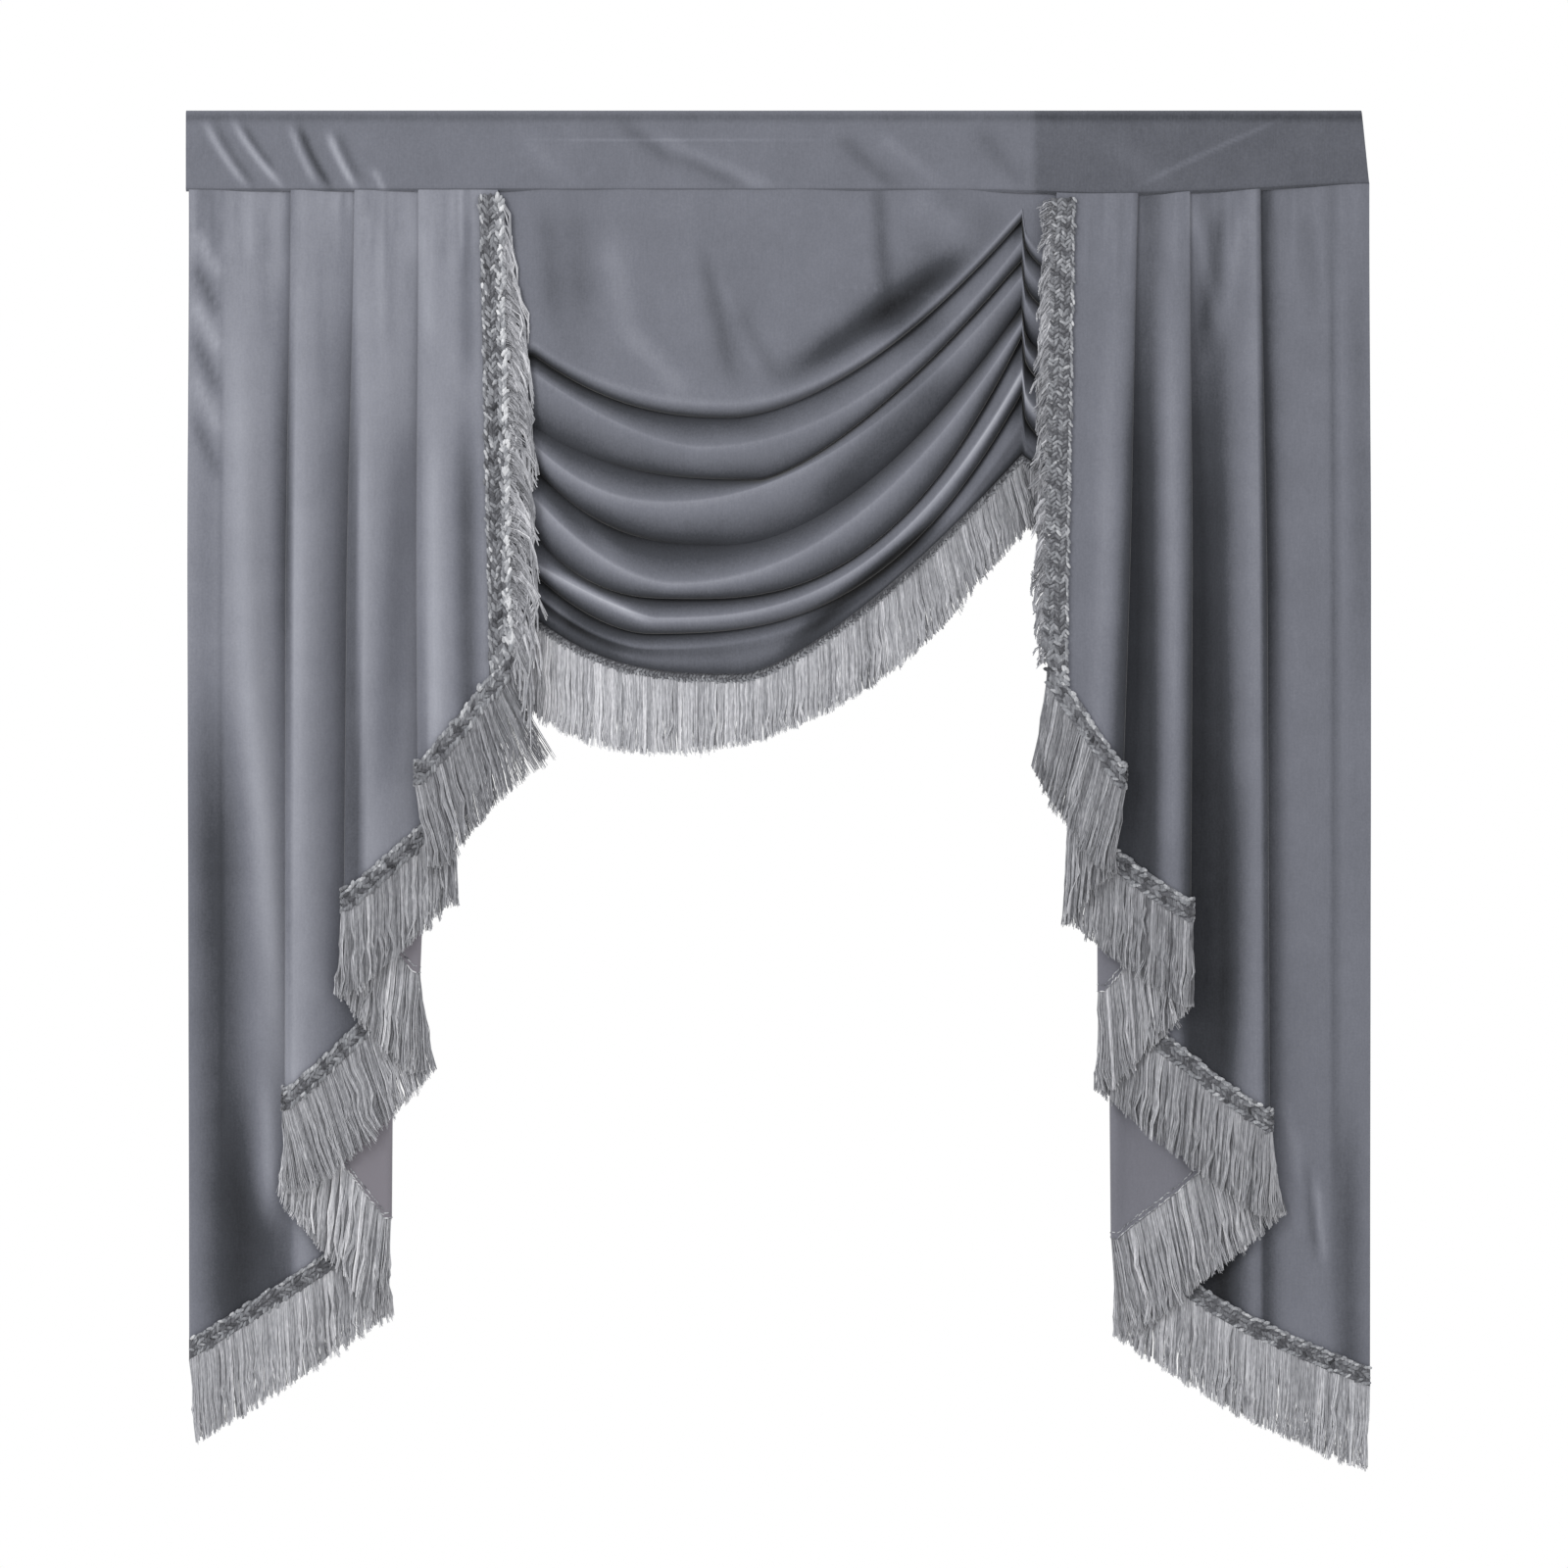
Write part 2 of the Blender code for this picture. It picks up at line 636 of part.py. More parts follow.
def swag_column(x):
    """Points (y, drop) down the front of the swag at x, from the seam to the hem."""
    amount = relief_share(x)
    seam = seam_drop(x) + SEAM_GAP
    first = line_drop(SWAG_LINES[0], x)
    column = []
    for row in range(SWAG_FLAT_ROWS):
        drop = lerp(seam, first, row / SWAG_FLAT_ROWS)
        column.append((swag_base(x, drop), drop))
    for line, after in zip(SWAG_LINES, SWAG_LINES[1:]):
        drop = line_drop(line, x)
        middle = (drop + line_drop(after, x)) / 2
        column.append((swag_base(x, drop) - line.out * amount, drop))
        column.append((swag_base(x, middle) - middle_out(line, after) * amount, middle))
    hem_line = SWAG_LINES[-1]
    hem = line_drop(hem_line, x)
    above = column[-1][1]
    heading = hem - min(SWAG_HEADING_HIDDEN, SWAG_HEADING_SHARE * (hem - above))
    share = (heading - above) / (hem - above)
    out = lerp(SWAG_LINES[-2].out, hem_line.out, (1.0 + share) / 2)
    column.append((swag_base(x, heading) - out * amount, heading))
    column.append((swag_base(x, hem) - hem_line.out * amount, hem))
    return column


def middle_out(line, after):
    """Relief half-way between a ridge and a crease: round ridge, narrow crease."""
    ridge, crease = (line, after) if line.out > after.out else (after, line)
    return lerp(ridge.out, crease.out, 0.5 ** crease.sharp)


def swag_columns():
    """X of the columns, with one on the tape."""
    left = [lerp(SWAG_LEFT_X, TAPE_X, step / SWAG_COLUMNS_LEFT)
            for step in range(SWAG_COLUMNS_LEFT + 1)]
    right = [lerp(TAPE_X, SWAG_RIGHT_X, step / SWAG_COLUMNS_RIGHT)
             for step in range(1, SWAG_COLUMNS_RIGHT + 1)]
    return left + right


def make_swag():
    places = swag_columns()
    columns = [swag_column(x) for x in places]
    front = []
    back = []
    for row in range(len(columns[0])):
        front.append([(x, column[row][0], -column[row][1])
                      for x, column in zip(places, columns)])
        back.append([(x, y + SWAG_THICKNESS_Y, z) for x, y, z in front[-1]])
    sheet_solid("swag", front, back, FABRIC_COLOUR)


def make_swag_fringe():
    """The heading is sewn behind the swag's hem and shows below it."""
    stations = []
    for x in swag_columns():
        (y_top, top), (y_hem, hem) = swag_column(x)[-2:]
        slope = (y_hem - y_top) / (hem - top)
        bottom = hem + SWAG_HEADING_SHOWN
        y_bottom = y_hem + slope * SWAG_HEADING_SHOWN
        near = SWAG_THICKNESS_Y + STITCH_GAP
        far = near + HEADING_THICKNESS
        stations.append(((x, y_top + near, -top), (x, y_top + far, -top),
                         (x, y_bottom + near, -bottom), (x, y_bottom + far, -bottom)))
    one_panel = [0] * (len(stations) - 1)
    stations, cells = split_into_locks(stations, LOCK_PITCH, LOCK_SHARE, one_panel)
    locks = {cell: (lock_sway(number), 0.0, -SWAG_LOCK_LENGTH)
             for number, (cell, _) in enumerate(cells)}
    fringe_solid("swag_fringe", stations, locks)


def clear_scene():
    for thing in list(bpy.data.objects):
        bpy.data.objects.remove(thing, do_unlink=True)


def main():
    clear_scene()
    left = Tail(-1.0, LEFT_TAIL, LEFT_SOFT_FOLDS)
    right = Tail(1.0, RIGHT_TAIL, RIGHT_SOFT_FOLDS)
    make_header()
    make_swag()
    make_swag_fringe()
    for side, tail, angle in (("left", left, LEFT_EDGE_LOCK_ANGLE),
                              ("right", right, RIGHT_EDGE_LOCK_ANGLE)):
        make_tail("tail_" + side, tail)
        make_hem_fringe("hem_fringe_" + side, tail)
        make_edge_fringe("edge_fringe_" + side, tail, angle)


main()
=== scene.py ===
# %% [markdown]
# # A swag and cascade valance in velvet
#
# The real object is a window valance: a straight header band, a swag draped between
# two pleated tails, and a brush fringe along every free edge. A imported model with
# the true folds is already there. This lesson loads it and makes the fine surface:
# cloth with its nap and creases, braided headings, and fringe of single strands.

import math
from collections import namedtuple

import bpy
import numpy as np
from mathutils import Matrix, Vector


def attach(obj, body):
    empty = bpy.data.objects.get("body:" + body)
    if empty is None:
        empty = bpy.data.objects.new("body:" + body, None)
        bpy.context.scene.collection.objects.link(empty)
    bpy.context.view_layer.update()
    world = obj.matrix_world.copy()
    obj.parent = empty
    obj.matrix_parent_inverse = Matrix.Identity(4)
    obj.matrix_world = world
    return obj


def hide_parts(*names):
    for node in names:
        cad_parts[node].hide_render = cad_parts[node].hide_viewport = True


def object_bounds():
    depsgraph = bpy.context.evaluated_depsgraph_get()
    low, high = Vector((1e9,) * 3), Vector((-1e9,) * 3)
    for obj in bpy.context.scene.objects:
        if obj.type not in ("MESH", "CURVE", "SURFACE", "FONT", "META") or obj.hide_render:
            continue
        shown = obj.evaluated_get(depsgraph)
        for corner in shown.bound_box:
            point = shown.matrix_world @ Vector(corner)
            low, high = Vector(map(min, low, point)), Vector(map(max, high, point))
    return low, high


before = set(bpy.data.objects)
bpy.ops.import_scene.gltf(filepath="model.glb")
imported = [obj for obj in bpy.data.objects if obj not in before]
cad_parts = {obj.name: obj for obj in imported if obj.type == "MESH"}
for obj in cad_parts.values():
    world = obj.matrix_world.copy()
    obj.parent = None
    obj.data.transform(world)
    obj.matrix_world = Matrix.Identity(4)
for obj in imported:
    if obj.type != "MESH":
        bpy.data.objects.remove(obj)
cad_low, cad_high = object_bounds()
print("nodes:", ", ".join(sorted(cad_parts)))

# %% [markdown]
# ## The camera
#
# The photograph is square and looks straight at the valance. A long lens from five
# metres away gives the same flat view. One millimetre of the header's plane is then
# one pixel of a picture 1600 pixels wide, which makes places easy to compare.

# %% Set up the camera
PICTURE_WIDTH = 1.6
CAMERA_DISTANCE = 5.0
CAMERA_X = 0.0065
CAMERA_Z = -0.687
SENSOR = 36.0

camera_data = bpy.data.cameras.new("camera")
camera_data.sensor_width = SENSOR
camera_data.lens = SENSOR * CAMERA_DISTANCE / PICTURE_WIDTH
camera = bpy.data.objects.new("camera", camera_data)
camera.location = (CAMERA_X, -CAMERA_DISTANCE, CAMERA_Z)
camera.rotation_euler = (math.radians(90.0), 0.0, 0.0)
bpy.context.scene.collection.objects.link(camera)
bpy.context.scene.camera = camera
print("lens:", camera_data.lens, "mm")

# %% [markdown]
# ## Small helpers for shapes
#
# Cloth is soft, so its forms are blended and never switched on at a line. Four
# short functions do all of the blending. They work on single numbers and on whole
# arrays of points at once, which keeps a fine mesh quick to work out.

# %% Blend numbers and arrays
MM = 0.001


def lerp(start, end, share):
    return start + (end - start) * share


def smooth(share):
    share = np.clip(share, 0.0, 1.0)
    return share * share * (3.0 - 2.0 * share)


def bell(distance, width):
    return np.exp(-((distance / width) ** 2))


print("half of a blend:", smooth(0.5))

# %% [markdown]
# ## From points to pieces
#
# A sheet of cloth is two grids of points, its face and its wrong side, closed around
# the border. Every piece stores a number called shade at each point, which says how
# light the pile or yarn is painted there: its own tone with painted shade in folds
# and creases and painted highlights on ridges. The materials read it later. The
# pieces stay at the origin, unturned, so a pattern in object coordinates keeps its
# true size.

# %% Make a mesh piece
SHARP_ANGLE = math.radians(50.0)
WRONG_SIDE_SHADE = 0.45


def select_only(piece):
    bpy.ops.object.select_all(action="DESELECT")
    piece.select_set(True)
    bpy.context.view_layer.objects.active = piece


def mesh_piece(name, points, faces, **attributes):
    """One object from points in millimetres, with a number per point for each attribute."""
    mesh = bpy.data.meshes.new(name)
    mesh.from_pydata((points * MM).tolist(), [], faces)
    for label, values in attributes.items():
        layer = mesh.attributes.new(label, "FLOAT", "POINT")
        layer.data.foreach_set("value", np.asarray(values, np.float32))
    piece = bpy.data.objects.new(name, mesh)
    bpy.context.scene.collection.objects.link(piece)
    select_only(piece)
    bpy.ops.object.shade_smooth_by_angle(angle=SHARP_ANGLE)
    return piece


def point_faces_out(piece):
    select_only(piece)
    bpy.ops.object.mode_set(mode="EDIT")
    bpy.ops.mesh.select_all(action="SELECT")
    bpy.ops.mesh.normals_make_consistent(inside=False)
    bpy.ops.object.mode_set(mode="OBJECT")


def closed_grid(face, wrong):
    """Points and faces of a sheet from two grids, rows down and columns across."""
    rows, columns = face.shape[:2]
    count = rows * columns
    corner = np.arange(count).reshape(rows, columns)
    quads = np.stack([corner[:-1, :-1], corner[:-1, 1:], corner[1:, 1:], corner[1:, :-1]],
                     axis=-1).reshape(-1, 4)
    rim = np.concatenate([corner[0, :-1], corner[:-1, -1], corner[-1, :0:-1],
                          corner[:0:-1, 0]])
    after = np.roll(rim, -1)
    walls = np.stack([rim, after, after + count, rim + count], axis=-1)
    faces = np.concatenate([quads, quads[:, ::-1] + count, walls])
    points = np.concatenate([face.reshape(-1, 3), wrong.reshape(-1, 3)])
    return points, faces.tolist()


def cloth_piece(name, face, wrong, shade, wrong_share=1.0):
    points, faces = closed_grid(face, wrong)
    count = len(points) // 2
    side = np.repeat([0.0, wrong_share], count)
    shades = np.concatenate([shade.ravel(), np.full(count, WRONG_SIDE_SHADE)])
    piece = mesh_piece(name, points, faces, shade=shades, wrong_side=side)
    point_faces_out(piece)
    print(name, "has", len(piece.data.polygons), "faces")
    return piece


# %% [markdown]
# ## Creases listed one by one
#
# Velvet keeps small creases from folding and hanging. Each one is a straight line
# with soft ends. It lifts the cloth a little, or presses it in, and its shade paints
# a highlight or a shadow along it. Places are in millimetres: x from the middle, and
# drop down from the top edge of the header.

# %% Read a table of creases
Crease = namedtuple("Crease", "x drop end_x end_drop width out shade")
CREASE_END = 0.3


def crease_field(creases, x, drop):
    """Relief, and painted light and shade, that a table of creases gives at points."""
    relief = np.zeros(np.broadcast(x, drop).shape)
    shade = np.zeros_like(relief)
    for crease in creases:
        across_x, across_drop = crease.end_x - crease.x, crease.end_drop - crease.drop
        length = math.hypot(across_x, across_drop)
        along = ((x - crease.x) * across_x + (drop - crease.drop) * across_drop) / length ** 2
        aside = ((x - crease.x) * across_drop - (drop - crease.drop) * across_x) / length
        ends = smooth(along / CREASE_END) * smooth((1.0 - along) / CREASE_END)
        form = bell(aside, crease.width) * ends
        relief += crease.out * form
        shade += crease.shade * form
    return relief, shade


# %% [markdown]
# ## Colours and nodes
#
# Colours are read off as sRGB hex codes. Cycles mixes light in linear numbers, so
# one function converts them. A second small function adds a node, sets its options
# and joins its inputs. All the materials below are built with these two.

# %% Convert colours and add nodes
def linear(code):
    channels = [int(code[start:start + 2], 16) / 255.0 for start in (1, 3, 5)]
    return [c / 12.92 if c <= 0.04045 else ((c + 0.055) / 1.055) ** 2.4
            for c in channels] + [1.0]


def add_node(material, kind, inputs=None, **settings):
    node = material.node_tree.nodes.new(kind)
    for option, value in settings.items():
        setattr(node, option, value)
    for socket, value in (inputs or {}).items():
        if isinstance(value, bpy.types.NodeSocket):
            material.node_tree.links.new(value, node.inputs[socket])
        else:
            node.inputs[socket].default_value = value
    return node


def new_material(name):
    material = bpy.data.materials.new(name)
    material.use_nodes = True
    return material, material.node_tree.nodes["Principled BSDF"]


def set_ramp(ramp, stops):
    """Colour stops of a ramp node, from (place, hex code) pairs."""
    elements = ramp.color_ramp.elements
    while len(elements) < len(stops):
        elements.new(0.5)
    for element, (place, code) in zip(elements, stops):
        element.position = place
        element.color = linear(code)


print("mid grey is", round(linear("#808080")[0], 3), "in linear light")

# %% [markdown]
# ## Velvet
#
# The cloth is a short-pile polyester velvet. It is woven with its pile up, so light
# scatters softly from it and its edges glow a little: high roughness and a sheen.
# The shade attribute holds the pile's tone together with painted shade in folds and
# creases and painted highlights on ridges. The pile clumps at about 2 mm, drawn
# coarser than single fibres so that it shows. The wrong side has no pile and is a
# warmer, duller grey.

# %% Make the velvet
PILE_CLUMP = 2.2
NAP_CLOUD = 55.0
THREAD_PITCH = 1.6
VELVET_STOPS = ((0.0, "#121316"), (0.25, "#3c3e44"), (0.5, "#6a6c75"),
                (0.75, "#90929b"), (1.0, "#b3b5bd"))
WRONG_SIDE = "#757279"


def make_velvet():
    material, shader = new_material("short_pile_velvet")
    place = add_node(material, "ShaderNodeTexCoord").outputs["Object"]
    shade = add_node(material, "ShaderNodeAttribute", attribute_name="shade")
    side = add_node(material, "ShaderNodeAttribute", attribute_name="wrong_side")
    pile = add_node(material, "ShaderNodeTexNoise",
                    {"Vector": place, "Scale": 1.0 / (PILE_CLUMP * MM), "Detail": 3.0})
    cloud = add_node(material, "ShaderNodeTexNoise",
                     {"Vector": place, "Scale": 1.0 / (NAP_CLOUD * MM), "Detail": 4.0,
                      "Roughness": 0.6})
    stretched = add_node(material, "ShaderNodeMapping",
                         {"Vector": place, "Scale": (1.0, 1.0, 0.12)})
    thread = add_node(material, "ShaderNodeTexNoise",
                      {"Vector": stretched.outputs["Vector"],
                       "Scale": 1.0 / (THREAD_PITCH * MM), "Detail": 1.0})
    # The shade attribute carries painted shade and painted highlights; the pile, cloud and thread
    # noise vary it.
    tone = shade.outputs["Fac"]
    for texture, weight in ((pile, 0.10), (cloud, 0.10), (thread, 0.05)):
        centred = add_node(material, "ShaderNodeMath",
                           {0: texture.outputs["Fac"], 1: 0.5}, operation="SUBTRACT")
        tone = add_node(material, "ShaderNodeMath",
                        {0: centred.outputs[0], 1: weight, 2: tone},
                        operation="MULTIPLY_ADD").outputs[0]
    ramp = add_node(material, "ShaderNodeValToRGB", {"Fac": tone})
    set_ramp(ramp, VELVET_STOPS)
    colour = add_node(material, "ShaderNodeMix",
                      {"Factor": side.outputs["Fac"], "A": ramp.outputs["Color"],
                       "B": linear(WRONG_SIDE)}, data_type="RGBA")
    bump = add_node(material, "ShaderNodeBump",
                    {"Height": pile.outputs["Fac"], "Strength": 0.35, "Distance": 0.3 * MM})
    links = material.node_tree.links
    links.new(colour.outputs["Result"], shader.inputs["Base Color"])
    links.new(bump.outputs["Normal"], shader.inputs["Normal"])
    shader.inputs["Roughness"].default_value = 0.85
    shader.inputs["Specular IOR Level"].default_value = 0.2
    shader.inputs["Sheen Weight"].default_value = 0.25
    shader.inputs["Sheen Roughness"].default_value = 0.4
    return material


velvet = make_velvet()
print("made", velvet.name)

# %% [markdown]
# ## Fringe yarn
#
# The fringe is brushed viscose yarn: smooth, a little shiny, and pale grey. The dark
# strands laid between its locks are painted shade. Each strand has its own shade, and
# fine streaks along it are its plies. The braided heading is woven from the same yarn
# with charcoal threads, so it uses a darker range of the same greys.

# %% Make the yarn and the braid
PLY_WIDTH = 1.4
PLY_LENGTH = 6.5
YARN_STOPS = ((0.0, "#323338"), (0.35, "#78797e"), (0.65, "#a5a6ab"), (1.0, "#dedee2"))
BRAID_STOPS = ((0.0, "#27282c"), (0.35, "#57585d"), (0.65, "#888a8f"), (1.0, "#cccdd0"))


def make_yarn(name, stops, roughness):
    material, shader = new_material(name)
    place = add_node(material, "ShaderNodeTexCoord").outputs["Object"]
    stretched = add_node(material, "ShaderNodeMapping",
                         {"Vector": place, "Scale": (1.0, 1.0, PLY_WIDTH / PLY_LENGTH)})
    ply = add_node(material, "ShaderNodeTexNoise",
                   {"Vector": stretched.outputs["Vector"], "Scale": 1.0 / (PLY_WIDTH * MM),
                    "Detail": 2.0})
    shade = add_node(material, "ShaderNodeAttribute", attribute_name="shade")
    centred = add_node(material, "ShaderNodeMath",
                       {0: ply.outputs["Fac"], 1: 0.5}, operation="SUBTRACT")
    tone = add_node(material, "ShaderNodeMath",
                    {0: centred.outputs[0], 1: 0.55, 2: shade.outputs["Fac"]},
                    operation="MULTIPLY_ADD")
    ramp = add_node(material, "ShaderNodeValToRGB", {"Fac": tone.outputs[0]})
    set_ramp(ramp, stops)
    bump = add_node(material, "ShaderNodeBump",
                    {"Height": ply.outputs["Fac"], "Strength": 0.4, "Distance": 0.3 * MM})
    links = material.node_tree.links
    links.new(ramp.outputs["Color"], shader.inputs["Base Color"])
    links.new(bump.outputs["Normal"], shader.inputs["Normal"])
    shader.inputs["Roughness"].default_value = roughness
    shader.inputs["Specular IOR Level"].default_value = 0.25
    shader.inputs["Sheen Weight"].default_value = 0.2
    return material


yarn = make_yarn("brushed_viscose_yarn", YARN_STOPS, 0.6)
braid = make_yarn("woven_braid", BRAID_STOPS, 0.7)
print("made", yarn.name, "and", braid.name)


def finish_piece(piece, material, slot, *nodes):
    """Give a piece its material, and let it stand for CAD nodes on the fixed body."""
    piece.data.materials.append(material)
    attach(piece, "root")
    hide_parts(*nodes)


# %% [markdown]
# ## The header band
#
# The band is a doubled strip of velvet, pressed flat and stitched to everything
# that hangs from it. Its top is a fold and its lower edge rolls over the seam, so
# the profile is rounded at both. Slanted creases from shipping cross it.

# %% Describe the header
HEADER_WIDTH = 1207.0
HEADER_HEIGHT = 82.0
HEADER_FRONT = -3.3
HEADER_COLUMNS = 300
HEADER_ROWS = 30
RIGHT_END_SLANT = 8.0
TOP_ROLL = 3.0
LOWER_ROLL = 2.4
LOWER_PUFF = 1.0
HEM_OVERLAP = 0.5
TOP_LINE_DROP = 7.0
TOP_LINE_WIDTH = 4.5
RIGHT_HALF_START = 262.0

SEAM_SAG = 4.0
SEAM_SAG_PLACE = 340.0
SEAM_SAG_WIDTH = 95.0
SEAM_LIFT = 6.0
SEAM_LIFT_START = 440.0

# The shade column paints a highlight or a shadow along each crease.
HEADER_CREASES = (
    # x, drop, end_x, end_drop, width, out, shade
    Crease(-587.0, 4.0, -536.0, 86.0, 4.0, 1.2, 0.22),
    Crease(-578.0, 4.0, -526.0, 86.0, 4.0, -1.2, -0.10),
    Crease(-560.0, 2.0, -498.0, 88.0, 4.0, 1.3, 0.26),
    Crease(-549.0, 8.0, -506.0, 66.0, 4.0, -1.0, -0.14),
    Crease(-497.0, 8.0, -466.0, 84.0, 4.0, 1.2, 0.19),
    Crease(-491.0, 6.0, -450.0, 90.0, 4.5, -1.4, -0.21),
    Crease(-458.0, 16.0, -427.0, 86.0, 4.0, 1.4, 0.30),
    Crease(-448.0, 16.0, -420.0, 80.0, 5.0, -1.0, -0.10),
    Crease(-410.0, 56.0, -399.0, 90.0, 4.0, 0.9, 0.16),
    Crease(-170.0, 6.0, -90.0, 60.0, 8.0, -0.9, -0.08),
    Crease(-110.0, 40.0, -20.0, 84.0, 8.0, -0.9, -0.08),
    Crease(-140.0, 20.0, 15.0, 88.0, 9.0, 0.9, 0.08),
    Crease(-260.0, 20.0, -200.0, 84.0, 12.0, 0.5, 0.04),
    Crease(60.0, 20.0, 130.0, 86.0, 9.0, -0.7, -0.08),
    Crease(95.0, 14.0, 180.0, 86.0, 9.0, 0.7, 0.05),
    Crease(200.0, 10.0, 260.0, 84.0, 10.0, -0.6, -0.06),
    Crease(350.0, 86.0, 534.0, 0.0, 2.2, 0.5, 0.09),
    Crease(330.0, 30.0, 420.0, 84.0, 14.0, 0.5, 0.03),
    Crease(-288.0, 31.0, 120.0, 29.0, 0.8, 0.2, 0.07),
)


def seam_drop(x):
    """Drop of the seam under the header."""
    sag = SEAM_SAG * bell(x - SEAM_SAG_PLACE, SEAM_SAG_WIDTH)
    lift = smooth((x - SEAM_LIFT_START) / (HEADER_WIDTH / 2 - SEAM_LIFT_START))
    return HEADER_HEIGHT + sag - SEAM_LIFT * lift


# %% Make the header
# HEADER_RIGHT_TONE paints the band darker right of RIGHT_HALF_START: painted shade over the right
# side.
HEADER_TONE = 0.465
HEADER_CREASE_BOW = 4.0
HEADER_RIGHT_TONE = 0.355


def make_header():
    share = np.linspace(0.0, 1.0, HEADER_ROWS + 1)[:, None]
    along = np.linspace(0.0, 1.0, HEADER_COLUMNS + 1)[None, :]
    left = np.full_like(share, -HEADER_WIDTH / 2)
    right = HEADER_WIDTH / 2 - RIGHT_END_SLANT * (1.0 - share)
    x = lerp(left, right, along)
    bottom = seam_drop(x) + HEM_OVERLAP
    drop = share * bottom
    bowed = x + HEADER_CREASE_BOW * np.sin(np.pi * share)
    relief, shade = crease_field(HEADER_CREASES, bowed, drop)
    top_round = np.sqrt(np.clip((drop + 0.3) / TOP_ROLL, 0.0, 1.0))
    foot = np.clip((bottom - drop) / LOWER_ROLL, 0.0, 1.0)
    foot_round = np.sqrt(1.0 - (1.0 - foot) ** 2)
    puff = LOWER_PUFF * smooth(1.0 - (bottom - drop) / (4.0 * LOWER_ROLL))
    ripple = 0.25 * np.sin(x / 31.0 + drop / 17.0) + 0.2 * np.sin(x / 13.0 - drop / 29.0)
    front = (HEADER_FRONT - puff - relief - ripple) * top_round * np.maximum(foot_round, 0.3)
    # Painted tone: darker right of RIGHT_HALF_START as painted shade, highlights and shadows
    # painted along the creases, darker along a line just under the top edge, and painted shade
    # where the lower edge rolls under.
    tone = lerp(HEADER_TONE, HEADER_RIGHT_TONE, smooth((x - RIGHT_HALF_START + 6.0) / 12.0))
    tone = tone + shade - 0.10 * bell(drop - TOP_LINE_DROP, TOP_LINE_WIDTH)
    tone = tone - 0.08 * bell(bottom - drop, 3.0)
    face = np.stack([x, front, -drop], axis=-1)
    wrong = np.stack([x, np.full_like(x, -0.2), -drop], axis=-1)
    return cloth_piece("header_cloth", face, wrong, tone)


header_cloth = make_header()
finish_piece(header_cloth, velvet, "velvet", "header_band")

# %% [markdown]
# ## The pleated tails
#
# A cascade tail is one cloth folded to and fro. Its panels get longer towards the
# outside, so the hem runs down in steps. The fold lines lie in one front plane, and
# each panel slopes back behind the one before it. The same rule and the same table
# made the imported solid. Here it is sampled every few millimetres, with creases.

# %% Describe the tails
Row = namedtuple("Row", "name seam_reach hem_reach line_drop heading bow lean")
SoftFold = namedtuple("SoftFold", "seam_reach hem_reach width out")
Shadow = namedtuple("Shadow", "fold top middle bottom top_reach foot_reach width roll soft")

TAIL_THICKNESS = 1.3
SEAM_FRONT = -2.35
HEM_FRONT = -24.0
SEAM_PITCH = 1.7
FOLD_PITCH = 8.0
TUCK_PITCH = 12.0
SPREAD_DROP = 520.0
HEM_BELOW_HEADING_TOP = 8.0
SEWN_IN = 2.0
TURN_STEPS = 6
COLUMN_WIDTH = 4.6
TAIL_ROWS = 124

LEFT_TAIL = (
    # name, seam_reach, hem_reach, line_drop, heading, bow, lean
    Row("inner_edge", 285.5, 273.5, 555.0, 29.0, 0.0, 22.0),
    Row("fold_1", 365.5, 361.5, 662.0, 27.0, 0.0, 9.0),
    Row("tuck_1", 330.5, 335.5, 699.0, 26.0, 2.0, 1.0),
    Row("fold_2", 430.5, 436.0, 792.0, 25.0, 0.0, -9.0),
    Row("tuck_2", 338.5, 371.5, 872.0, 24.0, 3.0, 24.0),
    Row("fold_3", 495.5, 496.0, 994.0, 24.0, 2.0, -11.0),
    Row("tuck_3", 393.5, 401.5, 1124.0, 22.0, 3.0, 4.0),
    Row("outer_edge", 600.5, 597.5, 1251.0, 21.0, 0.0, 0.0),
)
RIGHT_TAIL = (
    # name, seam_reach, hem_reach, line_drop, heading, bow, lean
    Row("inner_edge", 284.5, 274.5, 559.0, 29.0, 0.0, 22.0),
    Row("fold_1", 366.5, 347.5, 665.0, 27.0, 0.0, 7.0),
    Row("tuck_1", 311.5, 301.5, 719.0, 26.0, 2.0, 4.0),
    Row("fold_2", 419.5, 415.5, 802.0, 25.0, 0.0, -7.0),
    Row("tuck_2", 331.5, 333.5, 891.0, 24.0, 3.0, 7.0),
    Row("fold_3", 491.5, 495.5, 1017.0, 24.0, 2.0, -20.0),
    Row("tuck_3", 339.5, 348.5, 1146.0, 22.0, 12.0, 4.0),
    Row("outer_edge", 603.5, 601.5, 1279.0, 20.0, 0.0, 0.0),
)
LEFT_SOFT_FOLDS = (
    # seam_reach, hem_reach, width, out
    SoftFold(398.0, 396.0, 10.0, 2.0),
    SoftFold(470.0, 476.0, 12.0, 2.5),
    SoftFold(562.0, 508.0, 15.0, 4.0),
    SoftFold(318.0, 310.0, 10.0, -3.0),
)
RIGHT_SOFT_FOLDS = (
    # seam_reach, hem_reach, width, out
    SoftFold(371.0, 363.0, 15.0, -5.0),
    SoftFold(431.0, 440.0, 14.0, -5.0),
    SoftFold(400.0, 404.0, 12.0, 3.0),
    SoftFold(476.0, 484.0, 12.0, 3.0),
    SoftFold(566.0, 567.0, 6.0, 2.0),
)
